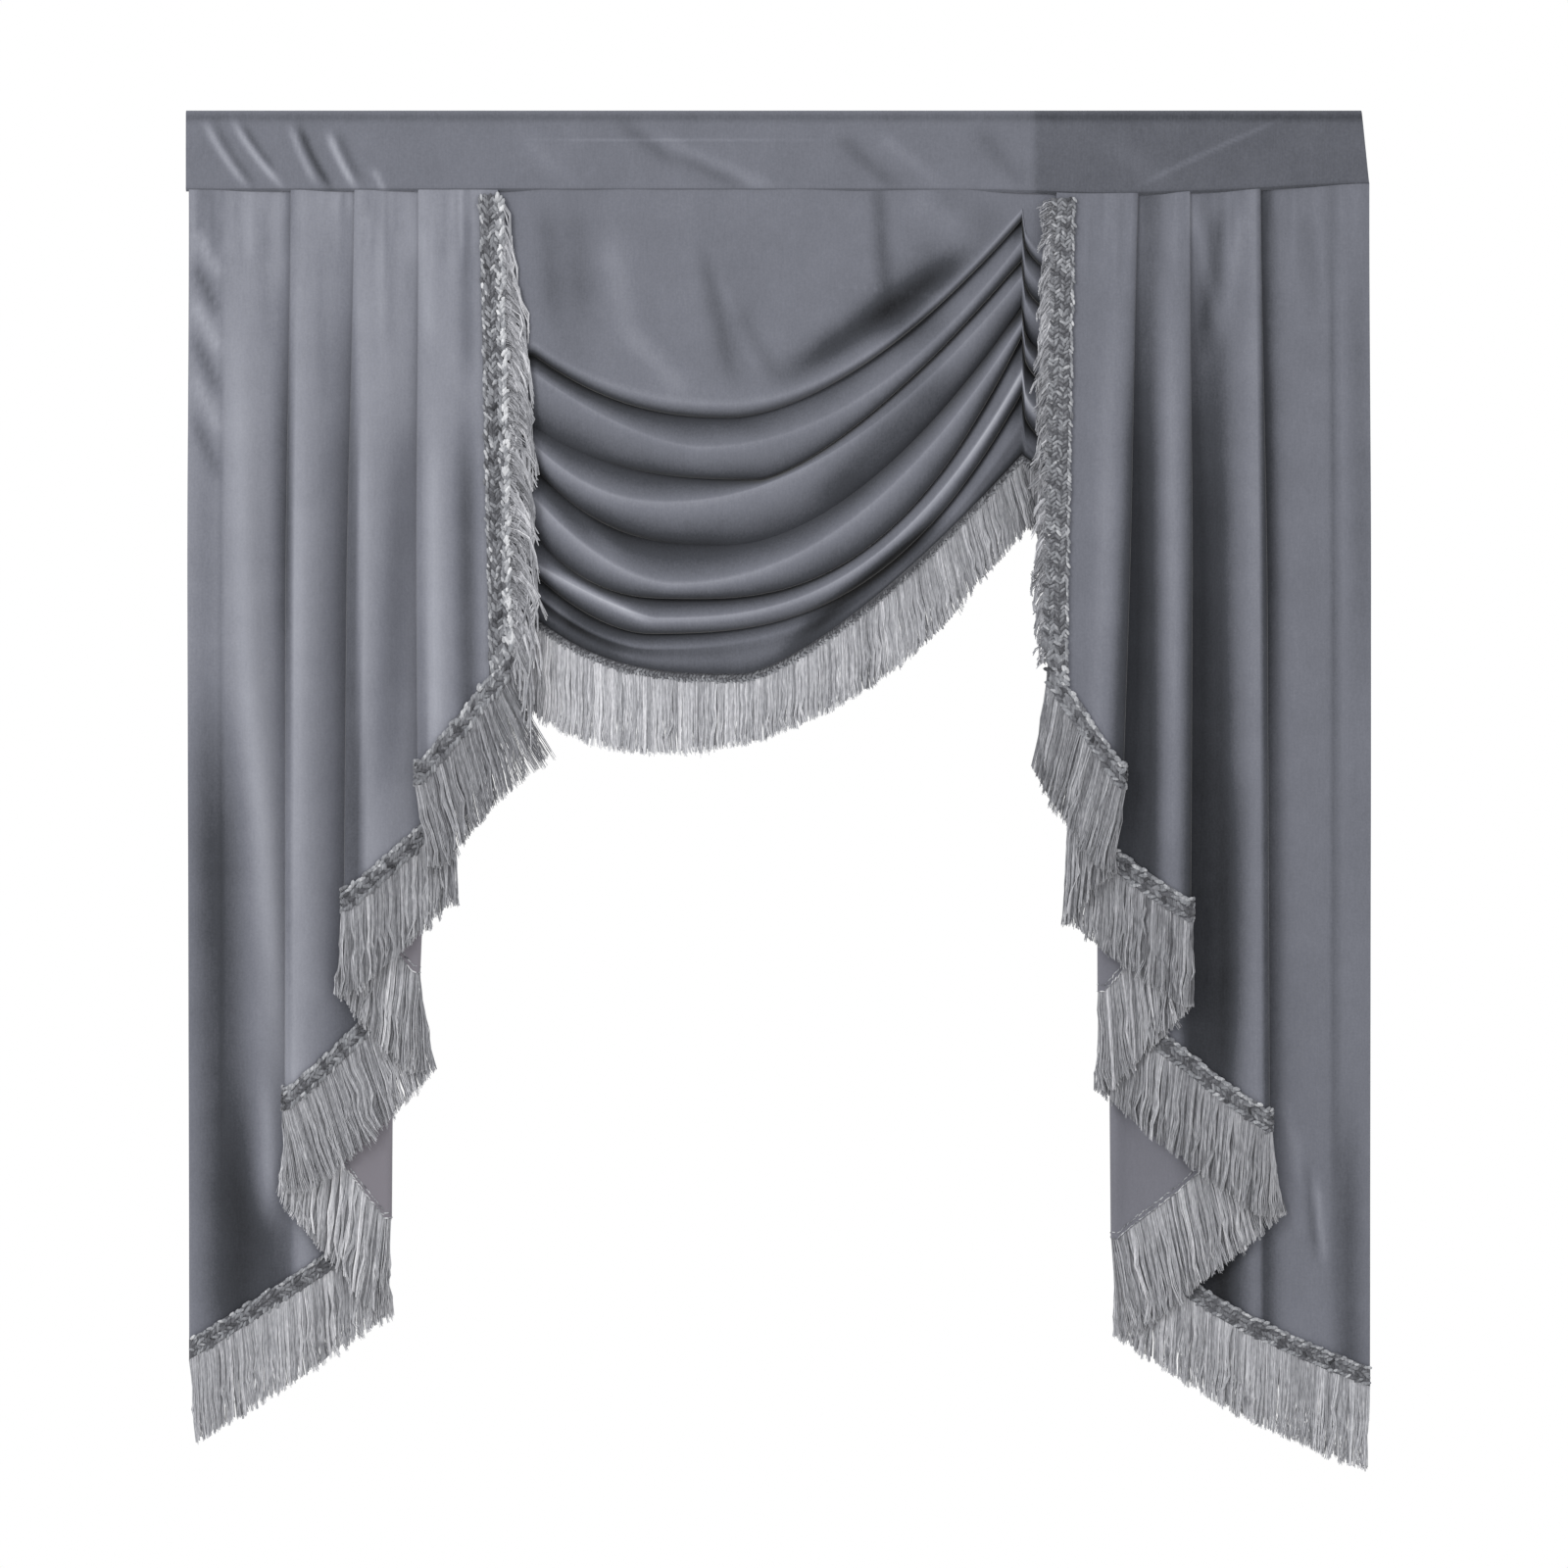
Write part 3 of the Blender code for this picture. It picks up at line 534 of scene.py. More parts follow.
# Painted shadows: each row paints shade beside a fold line on the cloth behind it, painted shade
# where the fold's edge rolls away, and a painted highlight along its lit edge.
LEFT_SHADOWS = (
    # fold, top, middle, bottom, top_reach, foot_reach, width, roll, soft
    Shadow("fold_1", 0.03, 0.07, 0.20, 1.0, 3.0, 10.0, 6.0, 3.0),
    Shadow("fold_2", 0.06, 0.27, 0.29, 2.0, 9.0, 26.0, 14.0, 4.0),
    Shadow("fold_3", 0.09, 0.36, 0.15, 1.0, 3.0, 15.0, 3.0, 2.5),
)
RIGHT_SHADOWS = (
    # fold, top, middle, bottom, top_reach, foot_reach, width, roll, soft
    Shadow("fold_1", 0.12, 0.29, 0.31, 13.0, 40.0, 13.0, 8.0, 9.0),
    Shadow("fold_2", 0.05, 0.29, 0.35, 27.0, 40.0, 15.0, 3.0, 10.0),
    Shadow("fold_3", 0.26, 0.34, 0.22, 2.0, 4.0, 13.0, 3.0, 3.0),
)
# The shade column paints highlights and shadows along these creases and broad bands.
LEFT_CREASES = (
    # x, drop, end_x, end_drop, width, out, shade
    Crease(-350.0, 280.0, -345.0, 720.0, 8.0, 1.5, 0.12),
    Crease(-318.0, 260.0, -312.0, 760.0, 12.0, -1.5, -0.28),
    Crease(-319.0, 90.0, -315.0, 300.0, 8.0, -1.0, -0.14),
    Crease(-365.0, 90.0, -352.0, 260.0, 7.0, 1.0, 0.08),
    Crease(-552.0, 160.0, -536.0, 700.0, 13.0, 1.5, 0.10),
    Crease(-543.0, 520.0, -484.0, 1130.0, 13.0, 2.5, 0.18),
    Crease(-573.0, 520.0, -559.0, 1440.0, 30.0, -3.0, -0.33),
    Crease(-374.0, 260.0, -406.0, 760.0, 17.0, -1.0, -0.14),
    Crease(-548.0, 950.0, -535.0, 1500.0, 20.0, -2.0, -0.22),
    Crease(-582.0, -200.0, -580.0, 1000.0, 15.0, -0.8, -0.08),
    Crease(-596.0, 118.0, -566.0, 176.0, 6.0, 1.2, 0.17),
    Crease(-600.0, 150.0, -566.0, 214.0, 5.0, -1.2, -0.17),
    Crease(-600.0, 186.0, -564.0, 256.0, 6.0, 1.2, 0.18),
    Crease(-600.0, 224.0, -564.0, 296.0, 5.0, -1.2, -0.16),
    Crease(-600.0, 262.0, -563.0, 338.0, 6.0, 1.2, 0.15),
    Crease(-600.0, 304.0, -563.0, 384.0, 5.0, -1.2, -0.13),
    Crease(-566.0, 20.0, -564.0, 1250.0, 2.0, -0.8, -0.09),
    Crease(-520.0, 980.0, -517.0, 1140.0, 9.0, 1.5, 0.10),
    Crease(-526.0, 1080.0, -500.0, 1330.0, 20.0, -1.0, -0.27),
    Crease(-486.0, 350.0, -490.0, 900.0, 8.0, 0.8, 0.06),
    Crease(-421.0, 300.0, -424.0, 700.0, 6.0, 0.8, 0.07),
    Crease(-470.0, 90.0, -462.0, 330.0, 6.0, -0.8, -0.05),
    Crease(-408.0, 90.0, -398.0, 300.0, 6.0, 0.8, 0.06),
    Crease(-392.0, 90.0, -400.0, 280.0, 6.0, -0.8, -0.06),
    Crease(-528.0, 90.0, -520.0, 260.0, 8.0, -0.8, -0.06),
)
# The shade column paints highlights and shadows along these creases and broad bands.
RIGHT_CREASES = (
    # x, drop, end_x, end_drop, width, out, shade
    Crease(418.0, 70.0, 456.0, 250.0, 7.0, 1.4, 0.09),
    Crease(456.0, 80.0, 430.0, 260.0, 9.0, -1.2, -0.12),
    Crease(476.0, 84.0, 452.0, 240.0, 8.0, 1.2, 0.08),
    Crease(565.0, -100.0, 567.0, 1350.0, 4.0, -1.2, -0.11),
    Crease(574.0, 60.0, 577.0, 800.0, 5.0, 0.6, 0.03),
    Crease(546.0, 1075.0, 557.0, 1185.0, 4.0, 1.2, 0.12),
    Crease(536.0, 1060.0, 549.0, 1178.0, 5.0, -1.2, -0.12),
    Crease(512.0, 1000.0, 545.0, 1130.0, 7.0, 1.0, 0.06),
    Crease(462.0, 1060.0, 470.0, 1300.0, 22.0, -1.5, -0.14),
    Crease(470.0, 640.0, 462.0, 1000.0, 14.0, -1.5, -0.10),
    Crease(520.0, 300.0, 524.0, 900.0, 14.0, 1.0, 0.02),
    Crease(330.0, 200.0, 336.0, 560.0, 12.0, 1.0, 0.03),
    Crease(400.0, 160.0, 405.0, 760.0, 8.0, 1.5, 0.05),
    Crease(590.0, 100.0, 596.0, 620.0, 10.0, -0.8, -0.06),
    Crease(579.0, 980.0, 581.0, 1480.0, 13.0, -0.6, -0.17),
    Crease(540.0, 90.0, 548.0, 230.0, 8.0, -0.8, -0.04),
)
# The left tail's base tone is painted lighter and the right tail's darker: painted light and shade
# on the two sides.
LEFT_TONE = 0.60
RIGHT_TONE = 0.475
PUCKER_COUNT = 70

# %% [markdown]
# The cloth is worked out as a section: the centre line of the folded cloth, seen
# from above, at every row from the seam to the hem. Straight stretches are panels.
# A half circle joins each panel to the next, outwards at a fold and inwards at a
# tuck. Moving the line sideways by half the thickness gives the face and the back.

# %% Work out a folded tail
SHADOW_MIDDLE = 420.0
SHADOW_BOTTOM = 740.0
ROLL_START = 187.0
LIT_EDGE = 0.2
LIT_EDGE_WIDTH = 9.0


class Tail:
    """A cascade tail, measured out from the centre line on its own side."""

    def __init__(self, side, rows, soft_folds, shadows, creases, tone):
        self.side = side
        self.rows = rows
        self.soft_folds = soft_folds
        self.shadows = shadows
        self.creases = creases
        self.tone = tone
        self.fold_rows = [row for row in rows[1:] if not row.name.startswith("tuck")]

    def seam(self, reach):
        return seam_drop(self.side * reach)

    def line_reach(self, row, drop):
        start = self.seam(row.seam_reach)
        share = np.clip((drop - start) / (row.line_drop - start), 0.0, 1.0)
        return lerp(row.seam_reach, row.hem_reach, share)

    def depth(self, panel, reach, drop):
        """Y of a panel, further back behind every fold line before it."""
        spread = smooth((drop - HEADER_HEIGHT) / (SPREAD_DROP - HEADER_HEIGHT))
        fold_pitch = lerp(SEAM_PITCH, FOLD_PITCH, spread)
        step = fold_pitch + lerp(SEAM_PITCH, TUCK_PITCH, spread)
        y = lerp(SEAM_FRONT, HEM_FRONT, spread)
        for number in range(panel // 2):
            inner = self.line_reach(self.fold_rows[number], drop)
            outer = self.line_reach(self.fold_rows[number + 1], drop)
            y = y + step * smooth((outer - reach) / (outer - inner))
        if panel % 2:
            y = y + fold_pitch
        return y - self.relief(reach, drop, spread)

    def relief(self, reach, drop, spread):
        down = np.clip(drop / self.rows[-1].line_drop, 0.0, 1.0)
        relief = crease_field(self.creases, self.side * reach, drop)[0]
        for fold in self.soft_folds:
            middle = lerp(fold.seam_reach, fold.hem_reach, down)
            relief = relief + fold.out * bell(reach - middle, fold.width)
        ripple = 0.35 * np.sin(reach / 9.0 + drop / 70.0) + 0.3 * np.sin(drop / 45.0 - reach / 30.0)
        return (relief + ripple) * spread

    def forward(self, panels, reach, moved, drop):
        """How much Y changes when points on panels move from one reach to another."""
        change = np.zeros_like(reach)
        for panel in range(len(self.rows) - 1):
            on = np.abs(panels - panel) <= 0.5
            change[on] = (self.depth(panel, moved[on], drop[on])
                          - self.depth(panel, reach[on], drop[on]))
        return change

    def strip(self, panel, shares, level):
        """Reach, y, drop and panel number on the panel's lines, from edge to edge."""
        first, last = self.rows[panel], self.rows[panel + 1]
        seam_reach = lerp(first.seam_reach, last.seam_reach, shares)
        hem_reach = lerp(first.hem_reach, last.hem_reach, shares)
        heading_top = lerp(first.line_drop, last.line_drop, shares)
        heading_top = heading_top + first.bow * np.sin(np.pi * shares)
        seam = self.seam(seam_reach)
        drop = level(seam, heading_top, lerp(first.heading, last.heading, shares))
        reach = lerp(seam_reach, hem_reach, (drop - seam) / (heading_top - seam))
        y = self.depth(panel, reach, drop)
        return np.stack([reach, y, drop, np.full_like(drop, panel)], axis=-1)

    def turn(self, panel, level):
        """The half circle between two panels."""
        edge = self.strip(panel, np.array([1.0]), level)[:, 0]
        y_end = self.strip(panel + 1, np.array([0.0]), level)[:, 0, 1]
        way = 1.0 if panel % 2 == 0 else -1.0
        radius = (y_end - edge[:, 1])[:, None] / 2
        angle = np.pi * np.arange(1, TURN_STEPS)[None, :] / TURN_STEPS
        reach = edge[:, :1] + way * radius * np.sin(angle)
        y = edge[:, 1:2] + radius * (1.0 - np.cos(angle))
        drop = np.broadcast_to(edge[:, 2:3], reach.shape)
        return np.stack([reach, y, drop, panel + angle / np.pi + 0.0 * reach], axis=-1)

    def section(self, level):
        """The whole centre line, as rows of (reach, y, drop, panel)."""
        parts = []
        last_panel = len(self.rows) - 2
        for panel in range(last_panel + 1):
            width = abs(self.rows[panel + 1].hem_reach - self.rows[panel].hem_reach)
            shares = np.linspace(0.0, 1.0, max(5, round(width / COLUMN_WIDTH)) + 1)
            parts.append(self.strip(panel, shares, level))
            if panel < last_panel:
                parts.append(self.turn(panel, level))
        return np.concatenate(parts, axis=1)

    def offset(self, line, distance):
        """Move a section to the face side, and give it as points of the frame."""
        along = np.gradient(line[..., :2], axis=1)
        along = along / np.linalg.norm(along, axis=-1, keepdims=True)
        reach = line[..., 0] + along[..., 1] * distance
        y = line[..., 1] - along[..., 0] * distance
        return np.stack([self.side * reach, y, -line[..., 2]], axis=-1)

    def shade(self, line):
        """How light the pile is painted along a section: its tone and creases, painted shade beside
        the fold lines and a painted highlight on each fold's lit edge.
        """
        reach, drop, panel = line[..., 0], line[..., 2], line[..., 3]
        tone = self.tone + crease_field(self.creases, self.side * reach, drop)[1]
        to_middle = smooth((drop - HEADER_HEIGHT) / (SHADOW_MIDDLE - HEADER_HEIGHT))
        to_bottom = smooth((drop - SHADOW_MIDDLE) / (SHADOW_BOTTOM - SHADOW_MIDDLE))
        for shadow in self.shadows:
            index = [row.name for row in self.rows].index(shadow.fold)
            row = self.rows[index]
            down = np.clip((drop - ROLL_START) / (row.line_drop - ROLL_START), 0.0, 1.0)
            away = reach - self.line_reach(row, drop) + shadow.roll * down ** 0.75
            dark = lerp(lerp(shadow.top, shadow.middle, to_middle), shadow.bottom, to_bottom)
            past = np.maximum(away - lerp(shadow.top_reach, shadow.foot_reach, down), 0.0)
            edge = smooth(0.5 + 0.5 * away / shadow.soft)
            lit = LIT_EDGE * bell(away + 2.0 * shadow.soft, LIT_EDGE_WIDTH)
            tone = tone - dark * (edge * bell(past, shadow.width) - lit) * (panel >= index - 1)
        return tone


def cloth_level(seam, heading_top, heading):
    """Drops of the cloth's rows, from inside the header to the hem."""
    share = np.linspace(0.0, 1.0, TAIL_ROWS + 1)[:, None]
    return lerp(seam - SEWN_IN, heading_top + HEM_BELOW_HEADING_TOP, share)


def puckers(side, strength, rng):
    """Small creases that run down from the seam, where the pleats are gathered, painted lighter
    where they lift and darker where they press in.
    """
    rows = []
    for _ in range(PUCKER_COUNT):
        x = side * rng.uniform(300.0, 600.0)
        drop = 74.0 + rng.uniform(0.0, 12.0)
        length = rng.uniform(30.0, 130.0)
        turned = rng.choice([-1.0, 1.0])
        rows.append(Crease(x, drop - 0.3 * length, x + rng.normal(0.0, 5.0), drop + length,
                           rng.uniform(2.0, 4.5), 0.5 * turned, strength * turned))
    return tuple(rows)


LEFT_CREASES += puckers(-1.0, 0.04, np.random.default_rng(5))
RIGHT_CREASES += puckers(1.0, 0.02, np.random.default_rng(6))
left_tail = Tail(-1.0, LEFT_TAIL, LEFT_SOFT_FOLDS, LEFT_SHADOWS, LEFT_CREASES, LEFT_TONE)
right_tail = Tail(1.0, RIGHT_TAIL, RIGHT_SOFT_FOLDS, RIGHT_SHADOWS, RIGHT_CREASES, RIGHT_TONE)
print("the left tail has", len(LEFT_TAIL) - 1, "panels")

# %% Make the tails' cloth
# The right tail mixes in only part of the wrong side's colour; the rest is the face's ramp at
# WRONG_SIDE_SHADE, which paints its wrong side darker and bluer as painted shade on the right side.
LEFT_WRONG_SHARE = 1.0
RIGHT_WRONG_SHARE = 0.3


def make_tail_cloth(name, tail, wrong_share, *nodes):
    line = tail.section(cloth_level)
    half = TAIL_THICKNESS / 2
    piece = cloth_piece(name, tail.offset(line, half), tail.offset(line, -half),
                        tail.shade(line), wrong_share)
    finish_piece(piece, velvet, "velvet", *nodes)
    return piece


tail_cloth_left = make_tail_cloth("tail_cloth_left", left_tail, LEFT_WRONG_SHARE, "tail_left")
tail_cloth_right = make_tail_cloth("tail_cloth_right", right_tail, RIGHT_WRONG_SHARE,
                                   "tail_right")

# %% [markdown]
# ## The swag
#
# The swag hangs between the left tail and a gathering tape near the right one. The
# tape pulls the cloth up, and the folds fan out from it. Each ridge and each crease
# follows its own curve. Between two of them the cloth bends gently over the ridge
# and sharply into the crease, and the lip above a crease hangs over it a little.

# %% Describe the swag
SwagLine = namedtuple(
    "SwagLine", "name low_x low_drop left_drop left_bend tape_drop tape_bend out sharp")
Hollow = namedtuple("Hollow", "x drop half_width half_height depth shade")
Look = namedtuple("Look", "left middle right left_lip middle_lip right_lip")

SWAG_LEFT_X = -293.5
SWAG_TURN_X = -248.5
TAPE_X = 249.5
SWAG_RIGHT_X = 291.5
SWAG_THICKNESS = 1.4
RETURN_FALL = 60.0
RETURN_SHARE = 0.8
HEM_RETURN_FALL = 24.0
RETURN_BEND = 0.35
HEM_RETURN_BEND = 0.8
SWAG_FRONT = -3.0
SEAM_TUCK = 3.6
TAPE_TUCK = 9.0
TAPE_TUCK_DEPTH = 60.0
TUCK_WIDTH = 60.0
SWAG_BELLY = 16.0
BELLY_DROP = 420.0
LEFT_RELIEF = 0.45
LEFT_RELIEF_WIDTH = 110.0
TAPE_RELIEF = 0.6
TAPE_RELIEF_WIDTH = 90.0
FLAT_ROWS = 32
FOLD_ROWS = 10
SWAG_COLUMNS = 150
RETURN_COLUMNS = 14
SWAG_TONE = 0.485
LOOK_PLACES = (-248.5, -140.0, 20.0, 190.0)
# Painted light on the swag: shade on each fold's upper face, a highlight line along each ridge,
# shade in the hollows at the gathering tape, and stronger painted light and shade near the tape.
UPPER_FACE_DARK = 0.05
RIDGE_LINE = 0.05
RIDGE_LINE_WIDTH = 3.5
TAPE_HOLLOW = 0.36
TAPE_HOLLOW_WIDTH = 9.0
NEAR_TAPE = 170.0
NEAR_TAPE_WIDTH = 60.0
NEAR_TAPE_LOOK = 1.5

SWAG_LINES = (
    # name, low_x, low_drop, left_drop, left_bend, tape_drop, tape_bend, out, sharp
    SwagLine("ridge_1", -48.0, 300.0, 238.0, 2.3, 101.0, 1.8, 2.0, 1.0),
    SwagLine("crease_1", -48.0, 314.0, 250.0, 2.3, 111.0, 1.68, -10.0, 2.2),
    SwagLine("ridge_2", -78.0, 345.0, 268.0, 1.6, 133.0, 2.05, 3.0, 1.0),
    SwagLine("crease_2", -18.0, 377.0, 323.0, 2.8, 152.0, 1.39, -11.0, 2.4),
    SwagLine("ridge_3", -110.0, 401.0, 341.0, 2.3, 169.0, 1.95, 2.0, 1.0),
    SwagLine("crease_3", -53.0, 444.0, 364.0, 2.8, 199.0, 1.8, -14.0, 1.6),
    SwagLine("ridge_4", -105.0, 484.0, 395.0, 1.8, 216.0, 2.1, 6.0, 1.0),
    SwagLine("crease_4", -88.0, 498.0, 433.0, 3.0, 230.0, 2.55, -10.0, 2.4),
    SwagLine("ridge_5", -123.0, 519.0, 462.0, 1.3, 266.0, 2.65, 4.0, 1.0),
    SwagLine("crease_5", -130.0, 534.0, 473.0, 1.8, 288.0, 2.8, -9.0, 2.0),
    SwagLine("ridge_6", -125.0, 551.0, 494.0, 1.9, 322.0, 2.5, 2.0, 1.0),
    SwagLine("hem", -35.0, 575.0, 516.0, 3.0, 350.0, 1.4, -2.0, 1.0),
)
LOOKS = {
    # painted tone at the left, middle and right, shade at a crease and highlight at a ridge, then
    # how far a lip hangs over at each
    "ridge_1": Look(0.0, 0.02, 0.06, 0.0, 0.0, 0.0),
    "crease_1": Look(-0.56, -0.20, -0.26, 0.46, 0.10, 0.30),
    "ridge_2": Look(0.02, 0.0, 0.03, 0.0, 0.0, 0.0),
    "crease_2": Look(-0.34, -0.30, -0.34, 0.12, 0.34, 0.46),
    "ridge_3": Look(0.09, 0.04, 0.03, 0.0, 0.0, 0.0),
    "crease_3": Look(-0.60, -0.26, -0.26, 0.46, 0.05, 0.10),
    "ridge_4": Look(0.14, 0.05, 0.05, 0.0, 0.0, 0.0),
    "crease_4": Look(-0.38, -0.34, -0.34, 0.40, 0.42, 0.46),
    "ridge_5": Look(0.16, 0.10, 0.24, 0.0, 0.0, 0.0),
    "crease_5": Look(-0.58, -0.18, -0.36, 0.44, 0.20, 0.42),
    "ridge_6": Look(-0.50, -0.10, -0.10, 0.0, 0.0, 0.0),
    "hem": Look(-0.42, -0.28, -0.34, 0.0, 0.0, 0.0),
}
# The shade column paints shade in each hollow.
SWAG_HOLLOWS = (
    # x, drop, half_width, half_height, depth, shade
    Hollow(-205.0, 190.0, 26.0, 90.0, 3.0, -0.05),
    Hollow(-40.0, 210.0, 30.0, 80.0, 3.0, -0.04),
    Hollow(90.0, 170.0, 34.0, 90.0, 3.5, 0.0),
    Hollow(137.0, 215.0, 36.0, 26.0, 6.0, -0.12),
)
# The shade column paints highlights and shadows along these creases, among them the dark band above
# the first ridge.
SWAG_CREASES = (
    # x, drop, end_x, end_drop, width, out, shade
    Crease(-20.0, 292.0, 226.0, 126.0, 15.0, -4.0, -0.30),
    Crease(70.0, 236.0, 190.0, 126.0, 24.0, -2.0, -0.10),
    Crease(100.0, 50.0, 112.0, 210.0, 9.0, -1.2, -0.13),
    Crease(150.0, 70.0, 236.0, 134.0, 22.0, -0.8, -0.07),
    Crease(130.0, 84.0, 200.0, 120.0, 16.0, 1.0, 0.05),
    Crease(-176.0, 110.0, -146.0, 260.0, 14.0, 1.5, 0.07),
    Crease(-160.0, 220.0, -86.0, 296.0, 12.0, 1.0, 0.08),
    Crease(-82.0, 120.0, -40.0, 300.0, 9.0, -1.2, -0.09),
    Crease(-68.0, 150.0, -10.0, 286.0, 8.0, 1.2, 0.05),
    Crease(-52.0, 190.0, 6.0, 286.0, 9.0, -1.0, -0.06),
    Crease(-238.0, 80.0, -226.0, 240.0, 12.0, -1.0, -0.08),
    Crease(-210.0, 80.0, -196.0, 230.0, 14.0, -1.0, -0.05),
    Crease(-246.0, 462.0, -116.0, 531.0, 4.0, 0.8, 0.20),
    Crease(-6.0, 562.0, 184.0, 406.0, 10.0, -0.6, -0.38),
    Crease(-262.0, 340.0, -150.0, 470.0, 9.0, 0.8, 0.10),
    Crease(-230.0, 515.0, -150.0, 560.0, 14.0, -0.5, -0.12),
    Crease(20.0, 420.0, 200.0, 240.0, 16.0, -1.0, -0.14),
    Crease(40.0, 176.0, 190.0, 192.0, 0.9, 0.2, 0.05),
)


# %% Work out the swag's curves
def line_drop(line, x):
    """Drop of a ridge, a crease or the hem at places x."""
    room = SWAG_LINES[-1].tape_drop + HEM_RETURN_FALL - line.tape_drop
    if line.name == "hem":
        fall, bend = HEM_RETURN_FALL, HEM_RETURN_BEND
    else:
        fall, bend = min(RETURN_FALL, RETURN_SHARE * room), RETURN_BEND
    past = np.clip((x - TAPE_X) / (SWAG_RIGHT_X - TAPE_X), 0.0, 1.0)
    rise = np.clip((x - line.low_x) / (TAPE_X - line.low_x), 0.0, 1.0)
    back = np.clip((line.low_x - x) / (line.low_x - SWAG_TURN_X), 0.0, 1.0)
    right = lerp(line.low_drop, line.tape_drop, rise ** line.tape_bend)
    left = lerp(line.low_drop, line.left_drop, back ** line.left_bend)
    return np.where(x > line.low_x, right, left) + fall * past ** bend


def relief_share(x):
    left = lerp(LEFT_RELIEF, 1.0, smooth((x - SWAG_TURN_X) / LEFT_RELIEF_WIDTH))
    right = lerp(TAPE_RELIEF, 1.0, smooth(np.abs(TAPE_X - x) / TAPE_RELIEF_WIDTH))
    return np.where(x < 0.0, left, right)


def swag_base(x, drop):
    """Y of the swag's front without its folds."""
    left = SEAM_TUCK * smooth(1.0 - (x - SWAG_LEFT_X) / TUCK_WIDTH)
    deep = smooth((drop - HEADER_HEIGHT) / TAPE_TUCK_DEPTH)
    right = lerp(SEAM_TUCK, TAPE_TUCK, deep) * smooth(1.0 - (TAPE_X - x) / TUCK_WIDTH)
    across = np.clip((x - SWAG_LEFT_X) / (SWAG_RIGHT_X - SWAG_LEFT_X), 0.0, 1.0)
    down = smooth((drop - HEADER_HEIGHT) / (BELLY_DROP - HEADER_HEIGHT))
    belly = SWAG_BELLY * np.sin(np.pi * across) * down
    hollow = 0.0
    for place in SWAG_HOLLOWS:
        inside = bell(x - place.x, place.half_width) * bell(drop - place.drop, place.half_height)
        hollow = hollow + place.depth * inside
    relief = crease_field(SWAG_CREASES, x, drop)[0]
    return SWAG_FRONT + left + right - belly + hollow - relief * down ** 0.5


def look(name, x):
    """Painted tone of a line at places x, shade at a crease and highlight at a ridge, and how far
    its lip hangs over.
    """
    row = LOOKS[name]
    near_left = lerp(row.left, row.middle, 0.6), lerp(row.left_lip, row.middle_lip, 0.5)
    tone = np.interp(x, LOOK_PLACES, (row.left, near_left[0], row.middle, row.right))
    tone = tone * lerp(1.0, NEAR_TAPE_LOOK, smooth((x - NEAR_TAPE) / NEAR_TAPE_WIDTH))
    lip = np.interp(x, LOOK_PLACES, (row.left_lip, near_left[1], row.middle_lip, row.right_lip))
    return tone, lip


def swag_fold(line, after, x):
    """Rows of (drop, relief, tone) from one line to the next; the tone is a painted highlight at a
    ridge and painted shade towards a crease.
    """
    steps = np.arange(FOLD_ROWS)[:, None] / FOLD_ROWS
    top, bottom = line_drop(line, x), line_drop(after, x)
    (tone, own_lip), (after_tone, lip) = look(line.name, x), look(after.name, x)
    drop = lerp(top, bottom, steps)
    if line.out > after.out:
        relief = lerp(line.out, after.out, steps ** max(after.sharp, 1.0))
        drop = drop + lip * (bottom - top) * np.sin(np.pi * steps) * relief_share(x)
        share = np.clip((drop - top) / (bottom - top), 0.0, 1.0)
        # A painted highlight at the ridge, fading into painted shade towards the next crease.
        shade = tone * (1.0 - smooth(share / 0.6)) + after_tone * share ** 1.8
        shade = shade + RIDGE_LINE * bell(drop - top, RIDGE_LINE_WIDTH) * (x < TAPE_X)
    else:
        relief = lerp(after.out, line.out, (1.0 - steps) ** line.sharp)
        below = lerp(1.4, 5.0, smooth(x / 150.0) * smooth(own_lip / 0.3))
        # Painted shade in the crease, lifting towards the next ridge, with more painted shade on
        # the upper face and at the tape.
        shade = tone * (1.0 - steps) ** below + after_tone * smooth((steps - 0.85) / 0.15)
        shade = shade - UPPER_FACE_DARK * np.sin(np.pi * steps)
        shade = shade - TAPE_HOLLOW * bell(x - TAPE_X, TAPE_HOLLOW_WIDTH) * (1.0 - steps)
    return drop, relief * relief_share(x), shade


# %% Make the swag's cloth
def swag_surface():
    """Front points and shade of the swag, rows down and columns across."""
    x = np.concatenate([np.linspace(SWAG_LEFT_X, TAPE_X, SWAG_COLUMNS)[:-1],
                        np.linspace(TAPE_X, SWAG_RIGHT_X, RETURN_COLUMNS)])[None, :]
    seam, first = seam_drop(x) - SEWN_IN, line_drop(SWAG_LINES[0], x)
    steps = np.arange(FLAT_ROWS)[:, None] / FLAT_ROWS
    lift = SWAG_LINES[0].out * smooth((steps - 0.85) / 0.15) * relief_share(x)
    # A painted highlight along the first ridge.
    crest = look("ridge_1", x)[0] * smooth((steps - 0.9) / 0.1)
    rows = [(lerp(seam, first, steps), lift, crest)]
    for line, after in zip(SWAG_LINES, SWAG_LINES[1:]):
        rows.append(swag_fold(line, after, x))
    hem = SWAG_LINES[-1]
    rows.append((line_drop(hem, x), hem.out * relief_share(x), look("hem", x)[0]))
    drop, relief, shade = (np.concatenate([np.broadcast_to(row[part], row[0].shape)
                                           for row in rows]) for part in range(3))
    x = np.broadcast_to(x, drop.shape)
    y = swag_base(x, drop) - relief
    # Painted light and shade from the creases and the hollows is added to the tone.
    tone = SWAG_TONE + shade + crease_field(SWAG_CREASES, x, drop)[1]
    for place in SWAG_HOLLOWS:
        inside = bell(x - place.x, place.half_width) * bell(drop - place.drop, place.half_height)
        tone = tone + place.shade * inside
    return np.stack([x, y, -drop], axis=-1), tone


